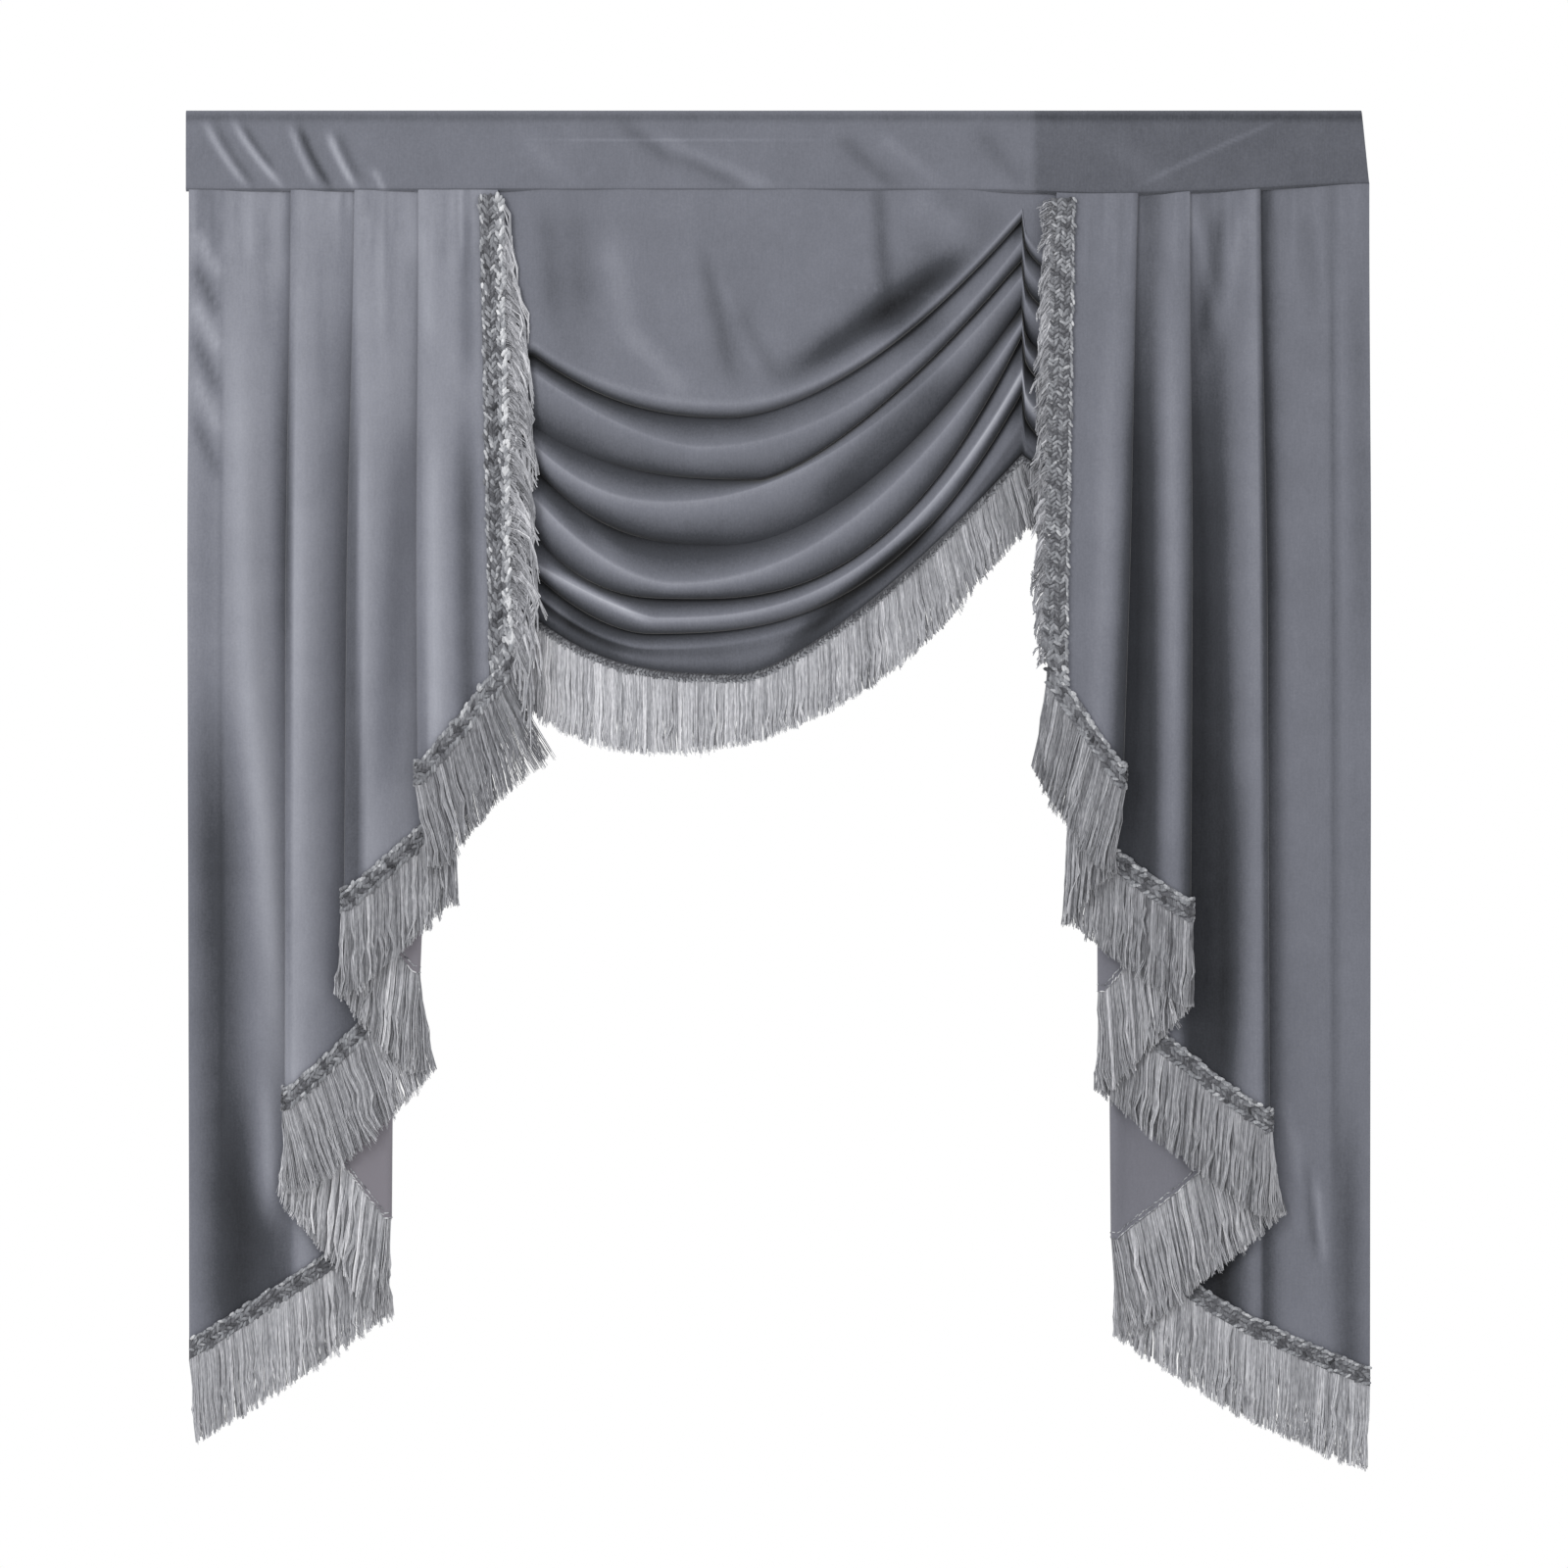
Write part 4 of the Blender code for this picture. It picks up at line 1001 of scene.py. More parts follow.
def make_swag_cloth():
    face, tone = swag_surface()
    wrong = face + np.array([0.0, SWAG_THICKNESS, 0.0])
    piece = cloth_piece("swag_cloth", face, wrong, tone)
    finish_piece(piece, velvet, "velvet", "swag")
    return piece


swag_cloth = make_swag_cloth()

# %% [markdown]
# ## One strand and one stitch
#
# The fringe is thousands of strands, and the braid hundreds of stitches. Each is
# modelled once, with a few faces only, and copied by array. The strand starts as a
# three-sided cone, cut across so that it can bend. The stitch starts as a ball with
# few faces, laid on its side with its ends pressed down.

# %% Model the strand and the stitch
STRAND_CUTS = 5
STRAND_TIP = 0.45
STITCH_SIDES = 5
STITCH_RINGS = 4
STITCH_END_DIP = 0.45


def take_shape():
    """Points and faces of the active object, which is then deleted."""
    model = bpy.context.active_object
    points = np.array([model.matrix_world @ v.co for v in model.data.vertices])
    faces = [tuple(face.vertices) for face in model.data.polygons]
    bpy.data.objects.remove(model, do_unlink=True)
    return points, faces


def model_strand():
    """A strand one unit long, from its root at the origin down to its tip."""
    bpy.ops.object.select_all(action="DESELECT")
    bpy.ops.mesh.primitive_cone_add(vertices=3, radius1=STRAND_TIP, radius2=1.0, depth=1.0,
                                    location=(0.0, 0.0, -0.5))
    bpy.ops.object.mode_set(mode="EDIT")
    for cut in range(1, STRAND_CUTS):
        bpy.ops.mesh.select_all(action="SELECT")
        level = 0.5 - cut / STRAND_CUTS
        bpy.ops.mesh.bisect(plane_co=(0.0, 0.0, level - 0.5), plane_no=(0.0, 0.0, 1.0))
    bpy.ops.object.mode_set(mode="OBJECT")
    return take_shape()


def model_stitch():
    """A stitch with its length along X, one unit each way, and its top at +Z."""
    bpy.ops.object.select_all(action="DESELECT")
    bpy.ops.mesh.primitive_uv_sphere_add(segments=STITCH_SIDES, ring_count=STITCH_RINGS,
                                         radius=1.0, rotation=(0.0, math.radians(90.0), 0.0))
    bpy.ops.object.transform_apply(location=False, rotation=True, scale=False)
    ball = bpy.context.active_object
    for vertex in ball.data.vertices:
        vertex.select = abs(vertex.co.x) > 0.9
    for kind in (ball.data.edges, ball.data.polygons):
        for item in kind:
            item.select = False
    bpy.ops.object.mode_set(mode="EDIT")
    bpy.ops.transform.translate(value=(0.0, 0.0, -STITCH_END_DIP))
    bpy.ops.object.mode_set(mode="OBJECT")
    return take_shape()


strand_shape = model_strand()
stitch_shape = model_stitch()
print("a strand has", len(strand_shape[1]), "faces and a stitch", len(stitch_shape[1]))

# %% [markdown]
# ## Headings
#
# A heading is the woven strip that the strands hang from. It is described by four
# lines of points: its free edge and its root edge, each against the cloth and on
# the outside. With lengths along the strip, any place on it can be looked up, also
# where it turns round a fold.

# %% Look up places on a heading
class Heading:
    """A strip along an edge, looked up by length along it."""

    def __init__(self, free_in, free_out, root_in, root_out, **columns):
        self.lines = np.stack([free_in, free_out, root_in, root_out])
        middle = self.lines.mean(axis=0)
        steps = np.linalg.norm(np.diff(middle, axis=0), axis=1)
        self.places = np.concatenate([[0.0], np.cumsum(steps)])
        self.length = self.places[-1]
        self.columns = columns

    def at(self, length, across, out):
        """Points at lengths, shares across from free edge to roots, and shares out."""
        free_in, free_out, root_in, root_out = (
            np.stack([np.interp(length, self.places, line[:, axis]) for axis in range(3)],
                     axis=-1) for line in self.lines)
        across, out = (np.broadcast_to(share, length.shape)[:, None] for share in (across, out))
        return lerp(lerp(free_in, free_out, out), lerp(root_in, root_out, out), across)

    def value(self, name, length):
        return np.interp(length, self.places, self.columns[name])

    def height(self, length):
        return np.linalg.norm(self.at(length, 1.0, 1.0) - self.at(length, 0.0, 1.0), axis=1)


def unit(vectors):
    return vectors / np.linalg.norm(vectors, axis=-1, keepdims=True)


def copies(shape, count):
    """Faces of many copies of a shape, one after another."""
    points, faces = shape
    return [tuple(corner + number * len(points) for corner in face)
            for number in range(count) for face in faces]


# %% [markdown]
# ## Stitches
#
# The braid is a plait between two corded edges. Each row of stitches leans the
# other way to the one beside it, which gives the herringbone. Cords are short
# stitches in a row that all lean one way, like a twisted rope. Some stitches are
# darker, in knots a thumb's width apart, as on the real braid.

# %% Lay rows of stitches along a heading
StitchRow = namedtuple("StitchRow", "across pitch length width tilt tone spread")
STITCH_LIFT = 0.07
STITCH_JITTER = 0.05
KNOT_PITCH = 27.0
KNOT_DEPTH = 0.26

HEM_BRAID = (
    # across, pitch, length, width, tilt, tone, spread
    StitchRow(0.08, 3.2, 7.6, 4.0, 12.0, 0.68, 0.09),
    StitchRow(0.32, 3.6, 9.0, 4.2, 30.0, 0.48, 0.10),
    StitchRow(0.58, 3.6, 9.0, 4.2, -30.0, 0.43, 0.10),
    StitchRow(0.86, 3.4, 8.4, 3.8, 36.0, 0.54, 0.10),
)
HEM_BACK_SEAM = (
    # across, pitch, length, width, tilt, tone, spread
    StitchRow(0.06, 4.4, 5.4, 1.5, 3.0, 0.66, 0.10),
    StitchRow(0.30, 4.4, 5.4, 1.5, 3.0, 0.80, 0.10),
)
BACK_SEAM_AWAY = -0.8


def lay_stitches(heading, rows, rng, side=1.0, away=None, knots=KNOT_DEPTH):
    """Points, faces and shades of the stitches on one side of a heading."""
    shape_points = stitch_shape[0]
    points, shades = [], []
    for row in rows:
        count = int(heading.length / row.pitch)
        length = (np.arange(count) + rng.uniform(0.3, 0.7, count)) * row.pitch
        out = away if away is not None else 0.5 + side * (0.5 + STITCH_LIFT)
        across = row.across + rng.normal(0.0, STITCH_JITTER * row.width / 4.0, count)
        centre = heading.at(length, across, out)
        along = unit(heading.at(length + 0.8, across, out)
                     - heading.at(length - 0.8, across, out) + 1e-9)
        outward = unit(heading.at(length, across, 1.0) - heading.at(length, across, 0.0))
        outward = outward * side
        down = unit(np.cross(outward, along))
        tilt = np.radians(row.tilt + rng.normal(0.0, 12.0, count))[:, None]
        long = along * np.cos(tilt) + down * np.sin(tilt)
        wide = np.cross(outward, long)
        size = rng.uniform(0.85, 1.15, count) * heading.height(length) / 24.0
        size = np.clip(size, 0.7, 1.3)[:, None, None]
        local = shape_points[None, :, :] * np.array([row.length, row.width, row.width * 0.8]) / 2
        local = local * size
        placed = (centre[:, None, :] + local[..., :1] * long[:, None, :]
                  + local[..., 1:2] * wide[:, None, :] + local[..., 2:] * outward[:, None, :])
        knot = np.maximum(np.sin(2.0 * np.pi * length / KNOT_PITCH + 3.0 * row.across), 0.0)
        tone = row.tone + rng.normal(0.0, row.spread, count) - knots * knot ** 3
        points.append(placed.reshape(-1, 3))
        shades.append(np.repeat(tone, len(shape_points)))
    points = np.concatenate(points)
    faces = copies(stitch_shape, len(points) // len(shape_points))
    return points, faces, np.concatenate(shades)


RIBBON_TONE = 0.32
RIBBON_ROWS = 3
RIBBON_STEP = 4.0


def lay_ribbon(heading):
    """The woven ground of the braid, a thin closed strip."""
    length = np.linspace(0.0, heading.length, int(heading.length / RIBBON_STEP) + 1)
    shares = np.linspace(0.0, 1.0, RIBBON_ROWS + 1)
    face = np.stack([heading.at(length, share, 0.9) for share in shares])
    back = np.stack([heading.at(length, share, 0.1) for share in shares])
    points, faces = closed_grid(face, back)
    return points, faces, np.full(len(points), RIBBON_TONE)


def join_parts(name, parts, material, *nodes):
    """One piece from several lists of points, faces and shades."""
    points, faces, shades = [], [], []
    start = 0
    for part_points, part_faces, part_shades in parts:
        points.append(part_points)
        faces += [tuple(corner + start for corner in face) for face in part_faces]
        shades.append(part_shades)
        start += len(part_points)
    piece = mesh_piece(name, np.concatenate(points), faces, shade=np.concatenate(shades))
    point_faces_out(piece)
    finish_piece(piece, material, "fringe", *nodes)
    print(name, "has", len(piece.data.polygons), "faces")
    return piece


# %% [markdown]
# ## Strands
#
# Brushed yarn hangs in locks. The strands of one lock start side by side, drift
# together and wave in the same way, and dark gaps open between the locks. On the hems
# and under the swag a layer of thick dark strands behind paints the shade in those
# gaps. Each strand also waves a little on its own, and ends a few millimetres high or low.

# %% Hang strands from a heading
Hang = namedtuple("Hang", "density length spread girth tone tone_spread lock wave pinch")
SHADE_STRANDS_OUT = 0.45
# The ground layer is thick dark strands behind the others: painted shade in the gaps between the
# locks.
HEM_HANGS = {
    # density, length, spread, girth, tone, tone_spread, lock, wave, pinch
    "front": Hang(1.8, 86.0, 0.8, 0.66, 0.475, 0.06, 4.5, 1.9, 0.35),
    "ground": Hang(0.75, 83.0, 0.8, 1.2, 0.28, 0.04, 9.0, 0.2, 0.0),
    "back": Hang(1.3, 86.0, 0.8, 0.70, 0.475, 0.06, 4.5, 1.9, 0.35),
}
STRAND_WAVES = 1.6
DRIFT_LENGTH = 38.0
DRIFT = 1.3


def shared(lengths, lock, rng, spread):
    """One random number for all the strands of a lock."""
    number = (lengths / lock + 0.35 * np.sin(lengths / 5.3) + 1.0).astype(int)
    return rng.normal(0.0, spread, number.max() + 1)[number], number


def drifting(lengths, rng):
    """A random number that changes slowly along a heading, from 0 to 1."""
    knots = np.arange(-DRIFT_LENGTH, lengths.max() + 2.0 * DRIFT_LENGTH, DRIFT_LENGTH)
    return np.interp(lengths, knots, rng.uniform(0.0, 1.0, len(knots)))


LIGHTER_END = 0.06
TONE_WAVE = 0.07
TONE_WAVES = 2.6


def lay_strands(roots, ends, lengths, hang, rng, bend=1.0, lighter=0.0, rougher=1.0):
    """Points, faces and shades of strands from their roots to their ends."""
    count = len(roots)
    base = strand_shape[0]
    down = -base[:, 2]
    sway, number = shared(lengths, hang.lock, rng, hang.wave)
    lock_tone = shared(lengths, hang.lock, rng, hang.tone_spread)[0]
    lock_end = shared(lengths, hang.lock, rng, hang.spread)[0]
    members = np.maximum(np.bincount(number), 1)
    centre_x = (np.bincount(number, roots[:, 0]) / members)[number]
    phase = 2.0 * np.pi * drifting(lengths, rng)[:, None]
    drift = DRIFT * (0.4 + drifting(lengths, rng))[:, None]
    turn = 2.0 * np.pi * STRAND_WAVES * down
    wave = (sway[:, None] + drift) * (np.sin(turn + phase) - np.sin(phase))
    own = rng.normal(0.0, hang.wave * 0.4, count)[:, None]
    own_phase = rng.uniform(0.0, 2.0 * np.pi, count)[:, None]
    wave = wave + own * np.sin(1.6 * turn + own_phase)
    gather = hang.pinch * (centre_x - roots[:, 0])[:, None] * smooth(down * 1.4)
    reach = ends - roots
    stretch = 1.0 + (lock_end + rng.normal(0.0, hang.spread, count)) / hang.length
    sideways = 1.0 - (1.0 - down) ** bend
    fall = down ** (2.0 - 1.0 / bend)
    x = roots[:, :1] + reach[:, :1] * sideways + wave * down ** 0.7 + gather
    y = roots[:, 1:2] + reach[:, 1:2] * down + 0.35 * wave * down
    z = roots[:, 2:] + reach[:, 2:] * fall * stretch[:, None]
    girth = hang.girth * rng.uniform(0.75, 1.25, count)[:, None]
    spin = rng.uniform(0.0, 2.0 * np.pi, count)[:, None]
    across_x = base[:, 0] * np.cos(spin) - base[:, 1] * np.sin(spin)
    across_y = base[:, 0] * np.sin(spin) + base[:, 1] * np.cos(spin)
    points = np.stack([x + girth * across_x, y + girth * across_y, z], axis=-1)
    own_tone = rng.normal(0.0, hang.tone_spread, count)
    tone = hang.tone + lighter + rougher * (lock_tone + own_tone)
    tone = tone[:, None] + LIGHTER_END * down
    tone = tone + TONE_WAVE * np.sin(TONE_WAVES * turn + 2.0 * own_phase)
    return points.reshape(-1, 3), copies(strand_shape, count), tone.ravel()


def root_lengths(heading, density, rng):
    """Places along a heading, evenly spread with a little disorder."""
    count = int(heading.length * density)
    length = (np.arange(count) + rng.uniform(0.1, 0.9, count)) / density
    return np.clip(length, 0.0, heading.length)


# %% [markdown]
# ## Fringe on the tails' hems
#
# The heading is sewn to the face of the cloth, so where the cloth turns its wrong
# side forwards the braid is at the back. There the viewer sees the strands from
# behind, starting at the cloth's edge. That is why strands are laid twice: once
# from the heading's lower edge, and once from the hem, against its back.

# %% Make the hem fringes
STITCH_GAP = 0.3
HEADING_THICKNESS = 2.5
HEM_LIGHTER = {
    # the seven panels, from the inner edge to the outer
    "left": (-0.07, 0.00, 0.03, 0.08, 0.04, 0.14, 0.12),
    "right": (-0.04, 0.00, -0.05, 0.06, -0.04, 0.06, 0.13),
}
HEM_ROUGHER = 1.3
CORNER_FANS = {"left": 20.0, "right": -8.0}
CORNER_FAN_WIDTH = 60.0


def hem_heading(tail):
    """The strip along the stepped hem, with its panel and lean at each column."""
    near = TAIL_THICKNESS / 2 + STITCH_GAP
    far = near + HEADING_THICKNESS
    top = tail.section(lambda seam, heading_top, heading: heading_top[None, :])
    bottom = tail.section(lambda seam, heading_top, heading: (heading_top + heading)[None, :])
    lines = [tail.offset(top, near)[0], tail.offset(top, far)[0],
             tail.offset(bottom, near)[0], tail.offset(bottom, far)[0]]
    panel = top[0, :, 3]
    leans = [row.lean for row in tail.rows]
    return Heading(*lines, panel=panel, lean=np.interp(panel, range(len(leans)), leans),
                   height=bottom[0, :, 2] - top[0, :, 2])


def hem_strands(tail, side_name, heading, rng):
    """The layers of strands of a hem fringe."""
    parts = []
    for layer, hang in HEM_HANGS.items():
        length = root_lengths(heading, hang.density, rng)
        height = heading.value("height", length)
        if layer == "back":
            roots = heading.at(length, (HEM_BELOW_HEADING_TOP - 1.0) / height, -0.25)
            reach = hang.length + height - HEM_BELOW_HEADING_TOP
        else:
            roots = heading.at(length, 0.97, 0.85 if layer == "front" else SHADE_STRANDS_OUT)
            reach = np.full_like(length, hang.length)
        near_corner = np.clip(1.0 - length / CORNER_FAN_WIDTH, 0.0, 1.0) ** 1.5
        lean = heading.value("lean", length) + CORNER_FANS[side_name] * near_corner
        fall = np.sqrt(reach ** 2 - lean ** 2)
        panel = heading.value("panel", length)
        reach = tail.side * roots[:, 0]
        forward = tail.forward(panel, reach, reach - lean, -roots[:, 2])
        ends = roots + np.stack([-tail.side * lean, forward, -fall], axis=-1)
        lighter = np.interp(panel, np.arange(7.0), HEM_LIGHTER[side_name])
        rougher = np.where(panel > 5.5, 1.0, HEM_ROUGHER)
        parts.append(lay_strands(roots, ends, length, hang, rng, 1.0, lighter, rougher))
    return parts


def make_hem_fringe(side_name, tail, seed):
    rng = np.random.default_rng(seed)
    heading = hem_heading(tail)
    node = "hem_fringe_" + side_name
    ground = [lay_ribbon(heading), lay_stitches(heading, HEM_BRAID, rng),
              lay_stitches(heading, HEM_BACK_SEAM, rng, side=-1.0, away=BACK_SEAM_AWAY)]
    woven = join_parts("hem_braid_" + side_name, ground, braid, node)
    layers = hem_strands(tail, side_name, heading, rng)
    hanging = join_parts("hem_strands_" + side_name, layers, yarn, node)
    return [woven, hanging]


hem_pieces_left = make_hem_fringe("left", left_tail, 11)
hem_pieces_right = make_hem_fringe("right", right_tail, 12)

# %% [markdown]
# ## Fringe down the tails' inner edges
#
# The same trim runs down the inner edge of each tail. Here its strands cannot hang
# straight: they leave the heading sideways, over the swag, and then droop. The
# cord on that side is thick and pale.

# %% Make the edge fringes
EDGE_HEADING_WIDTH = 20.0
EDGE_HEADING_OVERHANG = 1.0
EDGE_HEADING_BELOW_SEAM = 5.0
EDGE_STEP = 4.0
Edge = namedtuple("Edge", "reach fall bend seed")
EDGES = {"left": Edge(28.0, 56.0, 2.4, 21), "right": Edge(15.0, 27.0, 1.5, 22)}
EDGE_FOOT_REACH = {"left": 0.8, "right": 0.35}
EDGE_TOP = 70.0
EDGE_WIDENING = 150.0
EDGE_TOP_DROP = {"left": 1.0, "right": 0.25}
EDGE_TOP_REACH = {"left": 0.35, "right": 1.0}
EDGE_FOOT = 80.0
EDGE_FOOT_DROP = {"left": 1.45, "right": 0.5}
EDGE_HANGS = {
    # density, length, spread, girth, tone, tone_spread, lock, wave, pinch
    "left": Hang(1.3, 60.0, 4.0, 1.30, 0.50, 0.10, 4.0, 2.0, 0.1),
    "right": Hang(1.3, 44.0, 4.0, 1.25, 0.45, 0.09, 4.0, 1.4, 0.1),
}
EDGE_LAYERS = ((0.55, 0.55), (1.0, 1.0))
EDGE_BRAIDS = {
    "left": (
        # across, pitch, length, width, tilt, tone, spread
        StitchRow(0.10, 3.6, 9.5, 4.4, 14.0, 0.62, 0.12),
        StitchRow(0.34, 3.8, 11.0, 4.8, 34.0, 0.50, 0.14),
        StitchRow(0.60, 3.8, 11.0, 4.8, -34.0, 0.46, 0.14),
        StitchRow(0.84, 3.6, 11.0, 4.8, 30.0, 0.66, 0.14),
        StitchRow(1.08, 3.0, 12.0, 5.6, -20.0, 0.84, 0.12),
    ),
    "right": (
        # across, pitch, length, width, tilt, tone, spread
        StitchRow(0.06, 3.6, 8.0, 3.6, 24.0, 0.72, 0.08),
        StitchRow(0.30, 4.2, 10.0, 4.4, -46.0, 0.56, 0.10),
        StitchRow(0.56, 4.2, 10.0, 4.4, 46.0, 0.54, 0.10),
        StitchRow(0.82, 4.2, 10.0, 4.4, -46.0, 0.56, 0.10),
        StitchRow(1.08, 4.2, 10.0, 4.4, 46.0, 0.50, 0.10),
    ),
}


def edge_heading(tail):
    """The strip down a tail's inner edge, from the header to the hem fringe."""
    edge, fold = tail.rows[0], tail.rows[1]
    hem_slope = (fold.line_drop - edge.line_drop) / (fold.hem_reach - edge.hem_reach)
    bottom = edge.line_drop - hem_slope * EDGE_HEADING_OVERHANG - STITCH_GAP
    top = tail.seam(edge.seam_reach) + EDGE_HEADING_BELOW_SEAM
    drop = np.linspace(top, bottom, int(bottom / EDGE_STEP))
    slant = hem_slope * EDGE_HEADING_WIDTH * smooth((drop - bottom + 40.0) / 40.0)
    near = TAIL_THICKNESS / 2 + STITCH_GAP
    inner = tail.line_reach(edge, drop) - EDGE_HEADING_OVERHANG
    lines = []
    for reach, level in ((inner + EDGE_HEADING_WIDTH, drop + slant), (inner, drop)):
        y = tail.depth(0, reach, level)
        for away in (near, near + HEADING_THICKNESS):
            lines.append(np.stack([tail.side * reach, y - away, -level], axis=-1))
    return Heading(*lines)


def make_edge_fringe(side_name, tail):
    edge, hang = EDGES[side_name], EDGE_HANGS[side_name]
    rng = np.random.default_rng(edge.seed)
    heading = edge_heading(tail)
    node = "edge_fringe_" + side_name
    ground = [lay_ribbon(heading), lay_stitches(heading, EDGE_BRAIDS[side_name], rng)]
    woven = join_parts("edge_braid_" + side_name, ground, braid, node)
    parts = []
    for reach_share, fall_share in EDGE_LAYERS:
        length = root_lengths(heading, hang.density, rng)
        roots = heading.at(length, 0.98, rng.uniform(0.1, 0.9, len(length)))
        reach = edge.reach * reach_share * (1.0 + shared(length, hang.lock, rng, 0.16)[0])
        widening = smooth(length / EDGE_WIDENING)
        reach = reach * lerp(EDGE_TOP_REACH[side_name], 1.0, widening)
        reach = np.clip(reach, 3.0, edge.reach * 1.1)
        top = smooth(1.0 - length / EDGE_TOP)
        foot = smooth(1.0 - (heading.length - length) / EDGE_FOOT)
        fall = edge.fall * fall_share * (1.0 + shared(length, hang.lock, rng, 0.12)[0])
        fall = fall * lerp(1.0, EDGE_FOOT_DROP[side_name], foot)
        fall = fall * lerp(1.0, EDGE_TOP_DROP[side_name], top)
        reach = reach * lerp(1.0, EDGE_FOOT_REACH[side_name], foot)
        ends = roots + np.stack([-tail.side * reach, 0.0 * reach, -fall], axis=-1)
        parts.append(lay_strands(roots, ends, length, hang, rng, edge.bend))
    hanging = join_parts("edge_strands_" + side_name, parts, yarn, node)
    return [woven, hanging]


edge_pieces_left = make_edge_fringe("left", left_tail)
edge_pieces_right = make_edge_fringe("right", right_tail)

# %% [markdown]
# ## Fringe under the swag
#
# Here the heading is sewn behind the hem and shows as a narrow band below it. The
# strands are the palest of all, and they hang straight down.

# %% Make the swag's fringe
SWAG_HEADING_HIDDEN = 10.0
SWAG_HEADING_SHARE = 0.7
SWAG_HEADING_SHOWN = 10.0
SWAG_BACK = 2.2
# The middle layer, at 0.5, is thick dark strands: painted shade in the gaps between the locks.
SWAG_HANGS = {
    # density, length, spread, girth, tone, tone_spread, lock, wave, pinch
    0.9: Hang(1.3, 73.0, 1.2, 0.70, 0.64, 0.05, 4.5, 1.1, 0.3),
    0.5: Hang(0.75, 70.0, 1.0, 1.5, 0.48, 0.04, 9.0, 0.2, 0.0),
    0.1: Hang(1.5, 73.0, 1.2, 0.70, 0.64, 0.05, 4.5, 1.1, 0.3),
}
SWAG_KNOT_DEPTH = 0.08
SWAG_LEAN = 16.0
SWAG_LEAN_START = 20.0
SWAG_LEAN_WIDTH = 170.0
SWAG_LONGER_X = (-250.0, -165.0, -78.0, -33.0, 6.0, 46.0, 90.0, 130.0, 165.0, 185.0)
SWAG_LONGER = (18.0, 9.0, -2.0, -9.0, -8.0, -3.0, 3.0, 3.0, -3.0, -12.0)
SWAG_LIGHTER = (0.14, -0.14)
SWAG_BRAID = (
    # across, pitch, length, width, tilt, tone, spread
    StitchRow(0.64, 3.2, 7.0, 3.2, 50.0, 0.46, 0.08),
    StitchRow(0.84, 3.2, 7.0, 3.2, -60.0, 0.56, 0.08),
)


def swag_heading():
    face, _ = swag_surface()
    hem, above = face[-1], face[-FOLD_ROWS - 1]
    hem_drop, above_drop = -hem[:, 2], -above[:, 2]
    top = hem_drop - np.minimum(SWAG_HEADING_HIDDEN, SWAG_HEADING_SHARE * (hem_drop - above_drop))
    y_top = lerp(above[:, 1], hem[:, 1], (top - above_drop) / (hem_drop - above_drop))
    y_bottom = hem[:, 1] + (hem[:, 1] - y_top) * SWAG_HEADING_SHOWN / (hem_drop - top)
    lines = []
    for y, drop in ((y_top, top), (y_bottom, hem_drop + SWAG_HEADING_SHOWN)):
        for away in (SWAG_BACK + STITCH_GAP, SWAG_BACK + STITCH_GAP + HEADING_THICKNESS):
            lines.append(np.stack([face[-1, :, 0], y + away, -drop], axis=-1))
    return Heading(*lines)


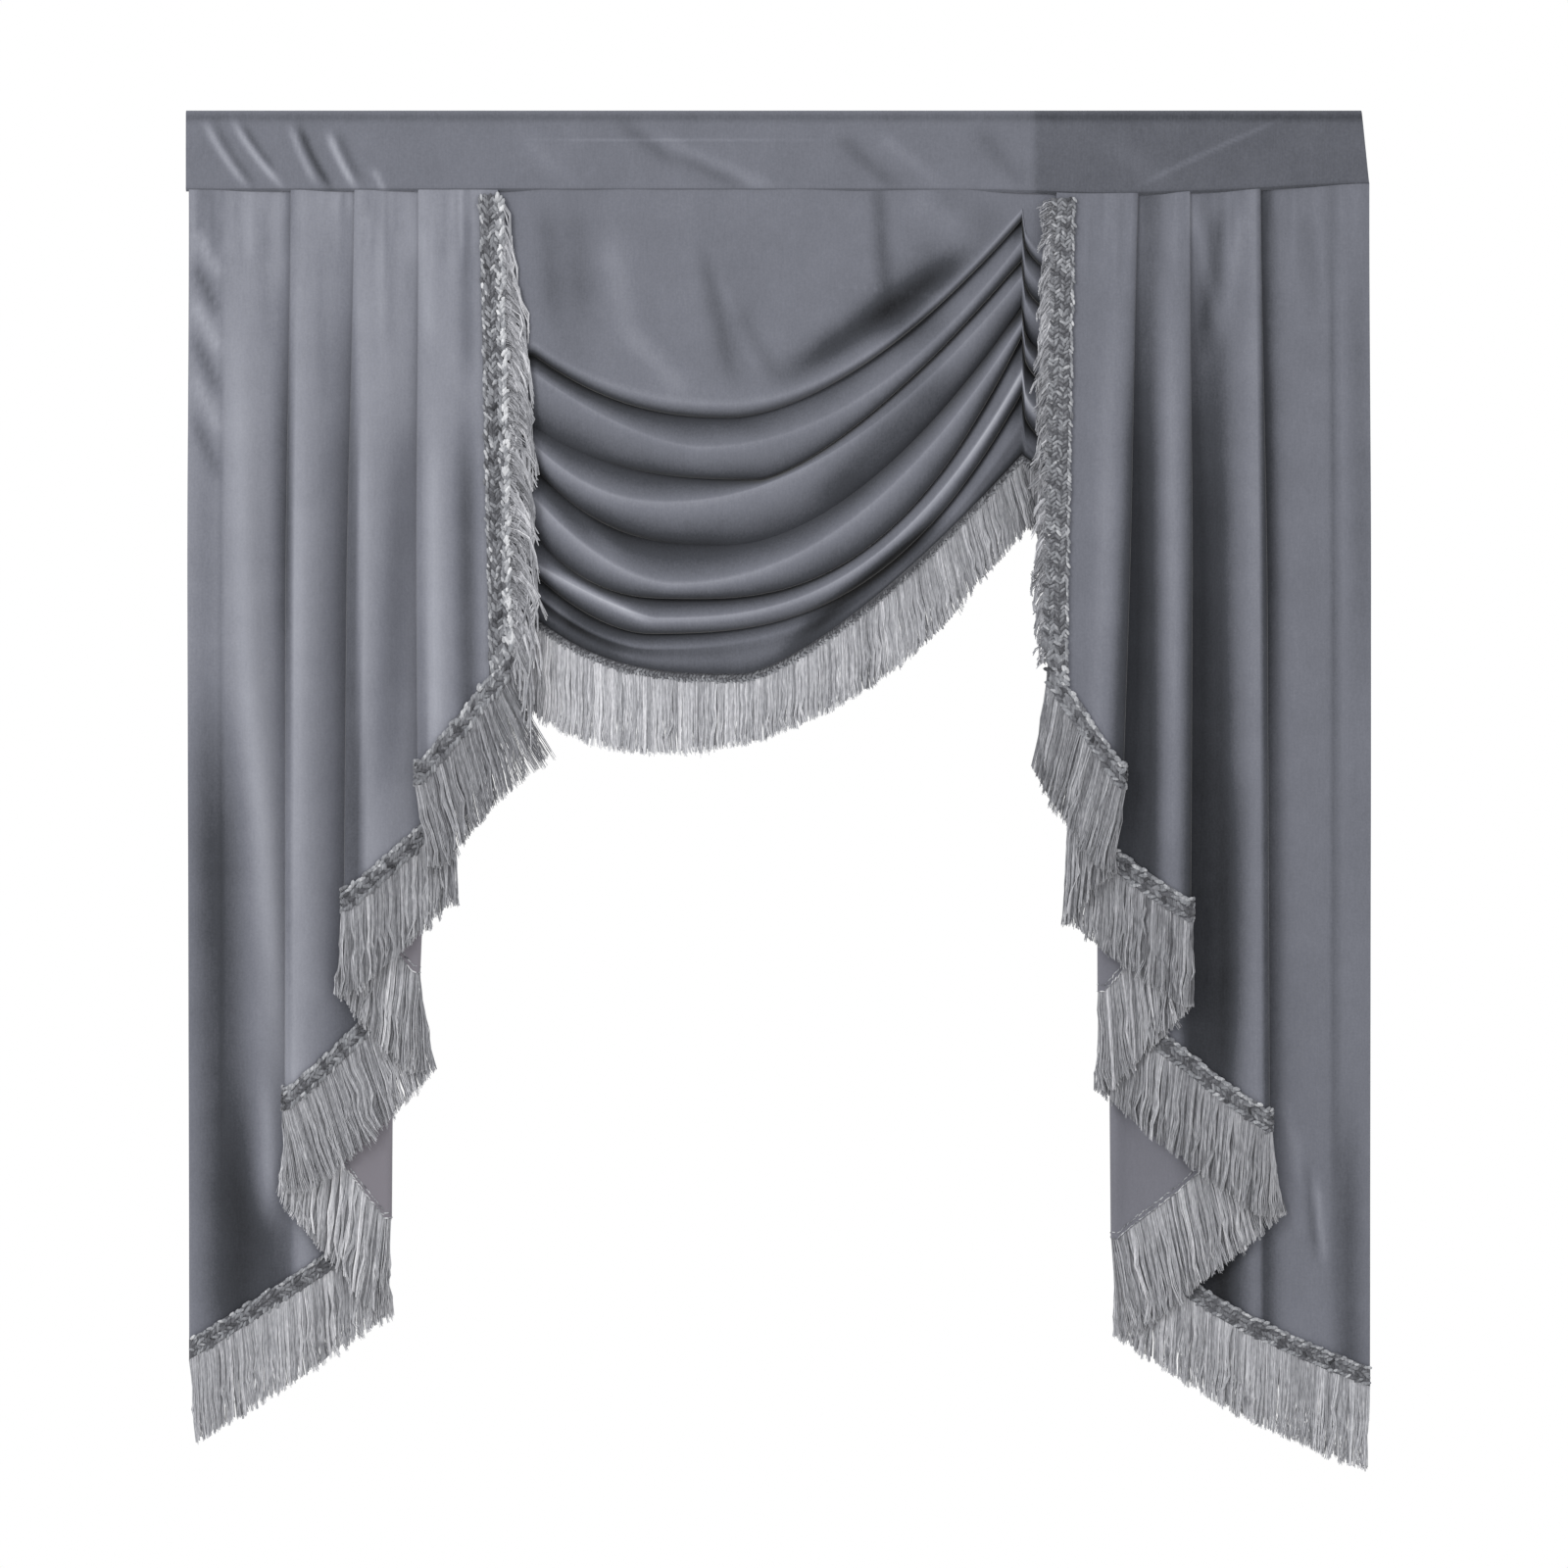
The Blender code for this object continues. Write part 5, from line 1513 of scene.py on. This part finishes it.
def make_swag_fringe():
    rng = np.random.default_rng(31)
    heading = swag_heading()
    ground = [lay_ribbon(heading), lay_stitches(heading, SWAG_BRAID, rng, side=-1.0,
                                                    knots=SWAG_KNOT_DEPTH)]
    woven = join_parts("swag_braid", ground, braid, "swag_fringe")
    parts = []
    for out, hang in SWAG_HANGS.items():
        length = root_lengths(heading, hang.density, rng)
        roots = heading.at(length, 0.9, out)
        lean = SWAG_LEAN * smooth((roots[:, 0] - SWAG_LEAN_START) / SWAG_LEAN_WIDTH)
        lean = lean * (roots[:, 0] < TAPE_X)
        longer = np.interp(roots[:, 0], SWAG_LONGER_X, SWAG_LONGER)
        fall = np.sqrt((hang.length + longer) ** 2 - lean ** 2)
        ends = roots + np.stack([lean, 0.0 * lean, -fall], axis=-1)
        lighter = lerp(*SWAG_LIGHTER, length / heading.length)
        parts.append(lay_strands(roots, ends, length, hang, rng, lighter=lighter))
    hanging = join_parts("swag_strands", parts, yarn, "swag_fringe")
    return [woven, hanging]


swag_pieces = make_swag_fringe()

# %% [markdown]
#
# The tails are cut on a slant, so their flat area is smaller than width times length.

# %% [markdown]
# ## Floor and light
#
# The valance hangs in front of plain white, so a white world is both the backdrop
# and the soft fill. A pale floor lies far below. One large lamp from the upper left
# models the folds, and a weaker one from the right opens the shadows.

# %% Make the floor
FLOOR_Z = -2.2
FLOOR_SIZE = 7.0
FLOOR_COLOUR = "#ecebe8"


def make_floor():
    bpy.ops.object.select_all(action="DESELECT")
    bpy.ops.mesh.primitive_plane_add(size=FLOOR_SIZE, location=(0.0, 0.0, FLOOR_Z))
    floor = bpy.context.active_object
    floor.name = "floor"
    material, shader = new_material("pale_floor")
    shader.inputs["Base Color"].default_value = linear(FLOOR_COLOUR)
    shader.inputs["Roughness"].default_value = 0.9
    floor.data.materials.append(material)


make_floor()

# %% Light the scene
WORLD_STRENGTH = 1.0
Lamp = namedtuple("Lamp", "name place size power")
LAMPS = (
    Lamp("key", (-2.6, -3.0, 1.3), 1.6, 70.0),
    Lamp("fill", (3.0, -3.4, 0.2), 2.2, 16.0),
)


def add_lamp(lamp, target):
    data = bpy.data.lights.new(lamp.name, "AREA")
    data.size = lamp.size
    data.energy = lamp.power
    holder = bpy.data.objects.new(lamp.name, data)
    holder.location = lamp.place
    aim = target - holder.location
    holder.rotation_euler = aim.to_track_quat("-Z", "Y").to_euler()
    bpy.context.scene.collection.objects.link(holder)


middle = (cad_low + cad_high) / 2
for lamp in LAMPS:
    add_lamp(lamp, middle)

world = bpy.data.worlds.new("white_world")
world.use_nodes = True
world.node_tree.nodes["Background"].inputs["Color"].default_value = (1.0, 1.0, 1.0, 1.0)
world.node_tree.nodes["Background"].inputs["Strength"].default_value = WORLD_STRENGTH
bpy.context.scene.world = world
bpy.context.scene.view_settings.view_transform = "Standard"
print("lamps:", ", ".join(lamp.name for lamp in LAMPS))
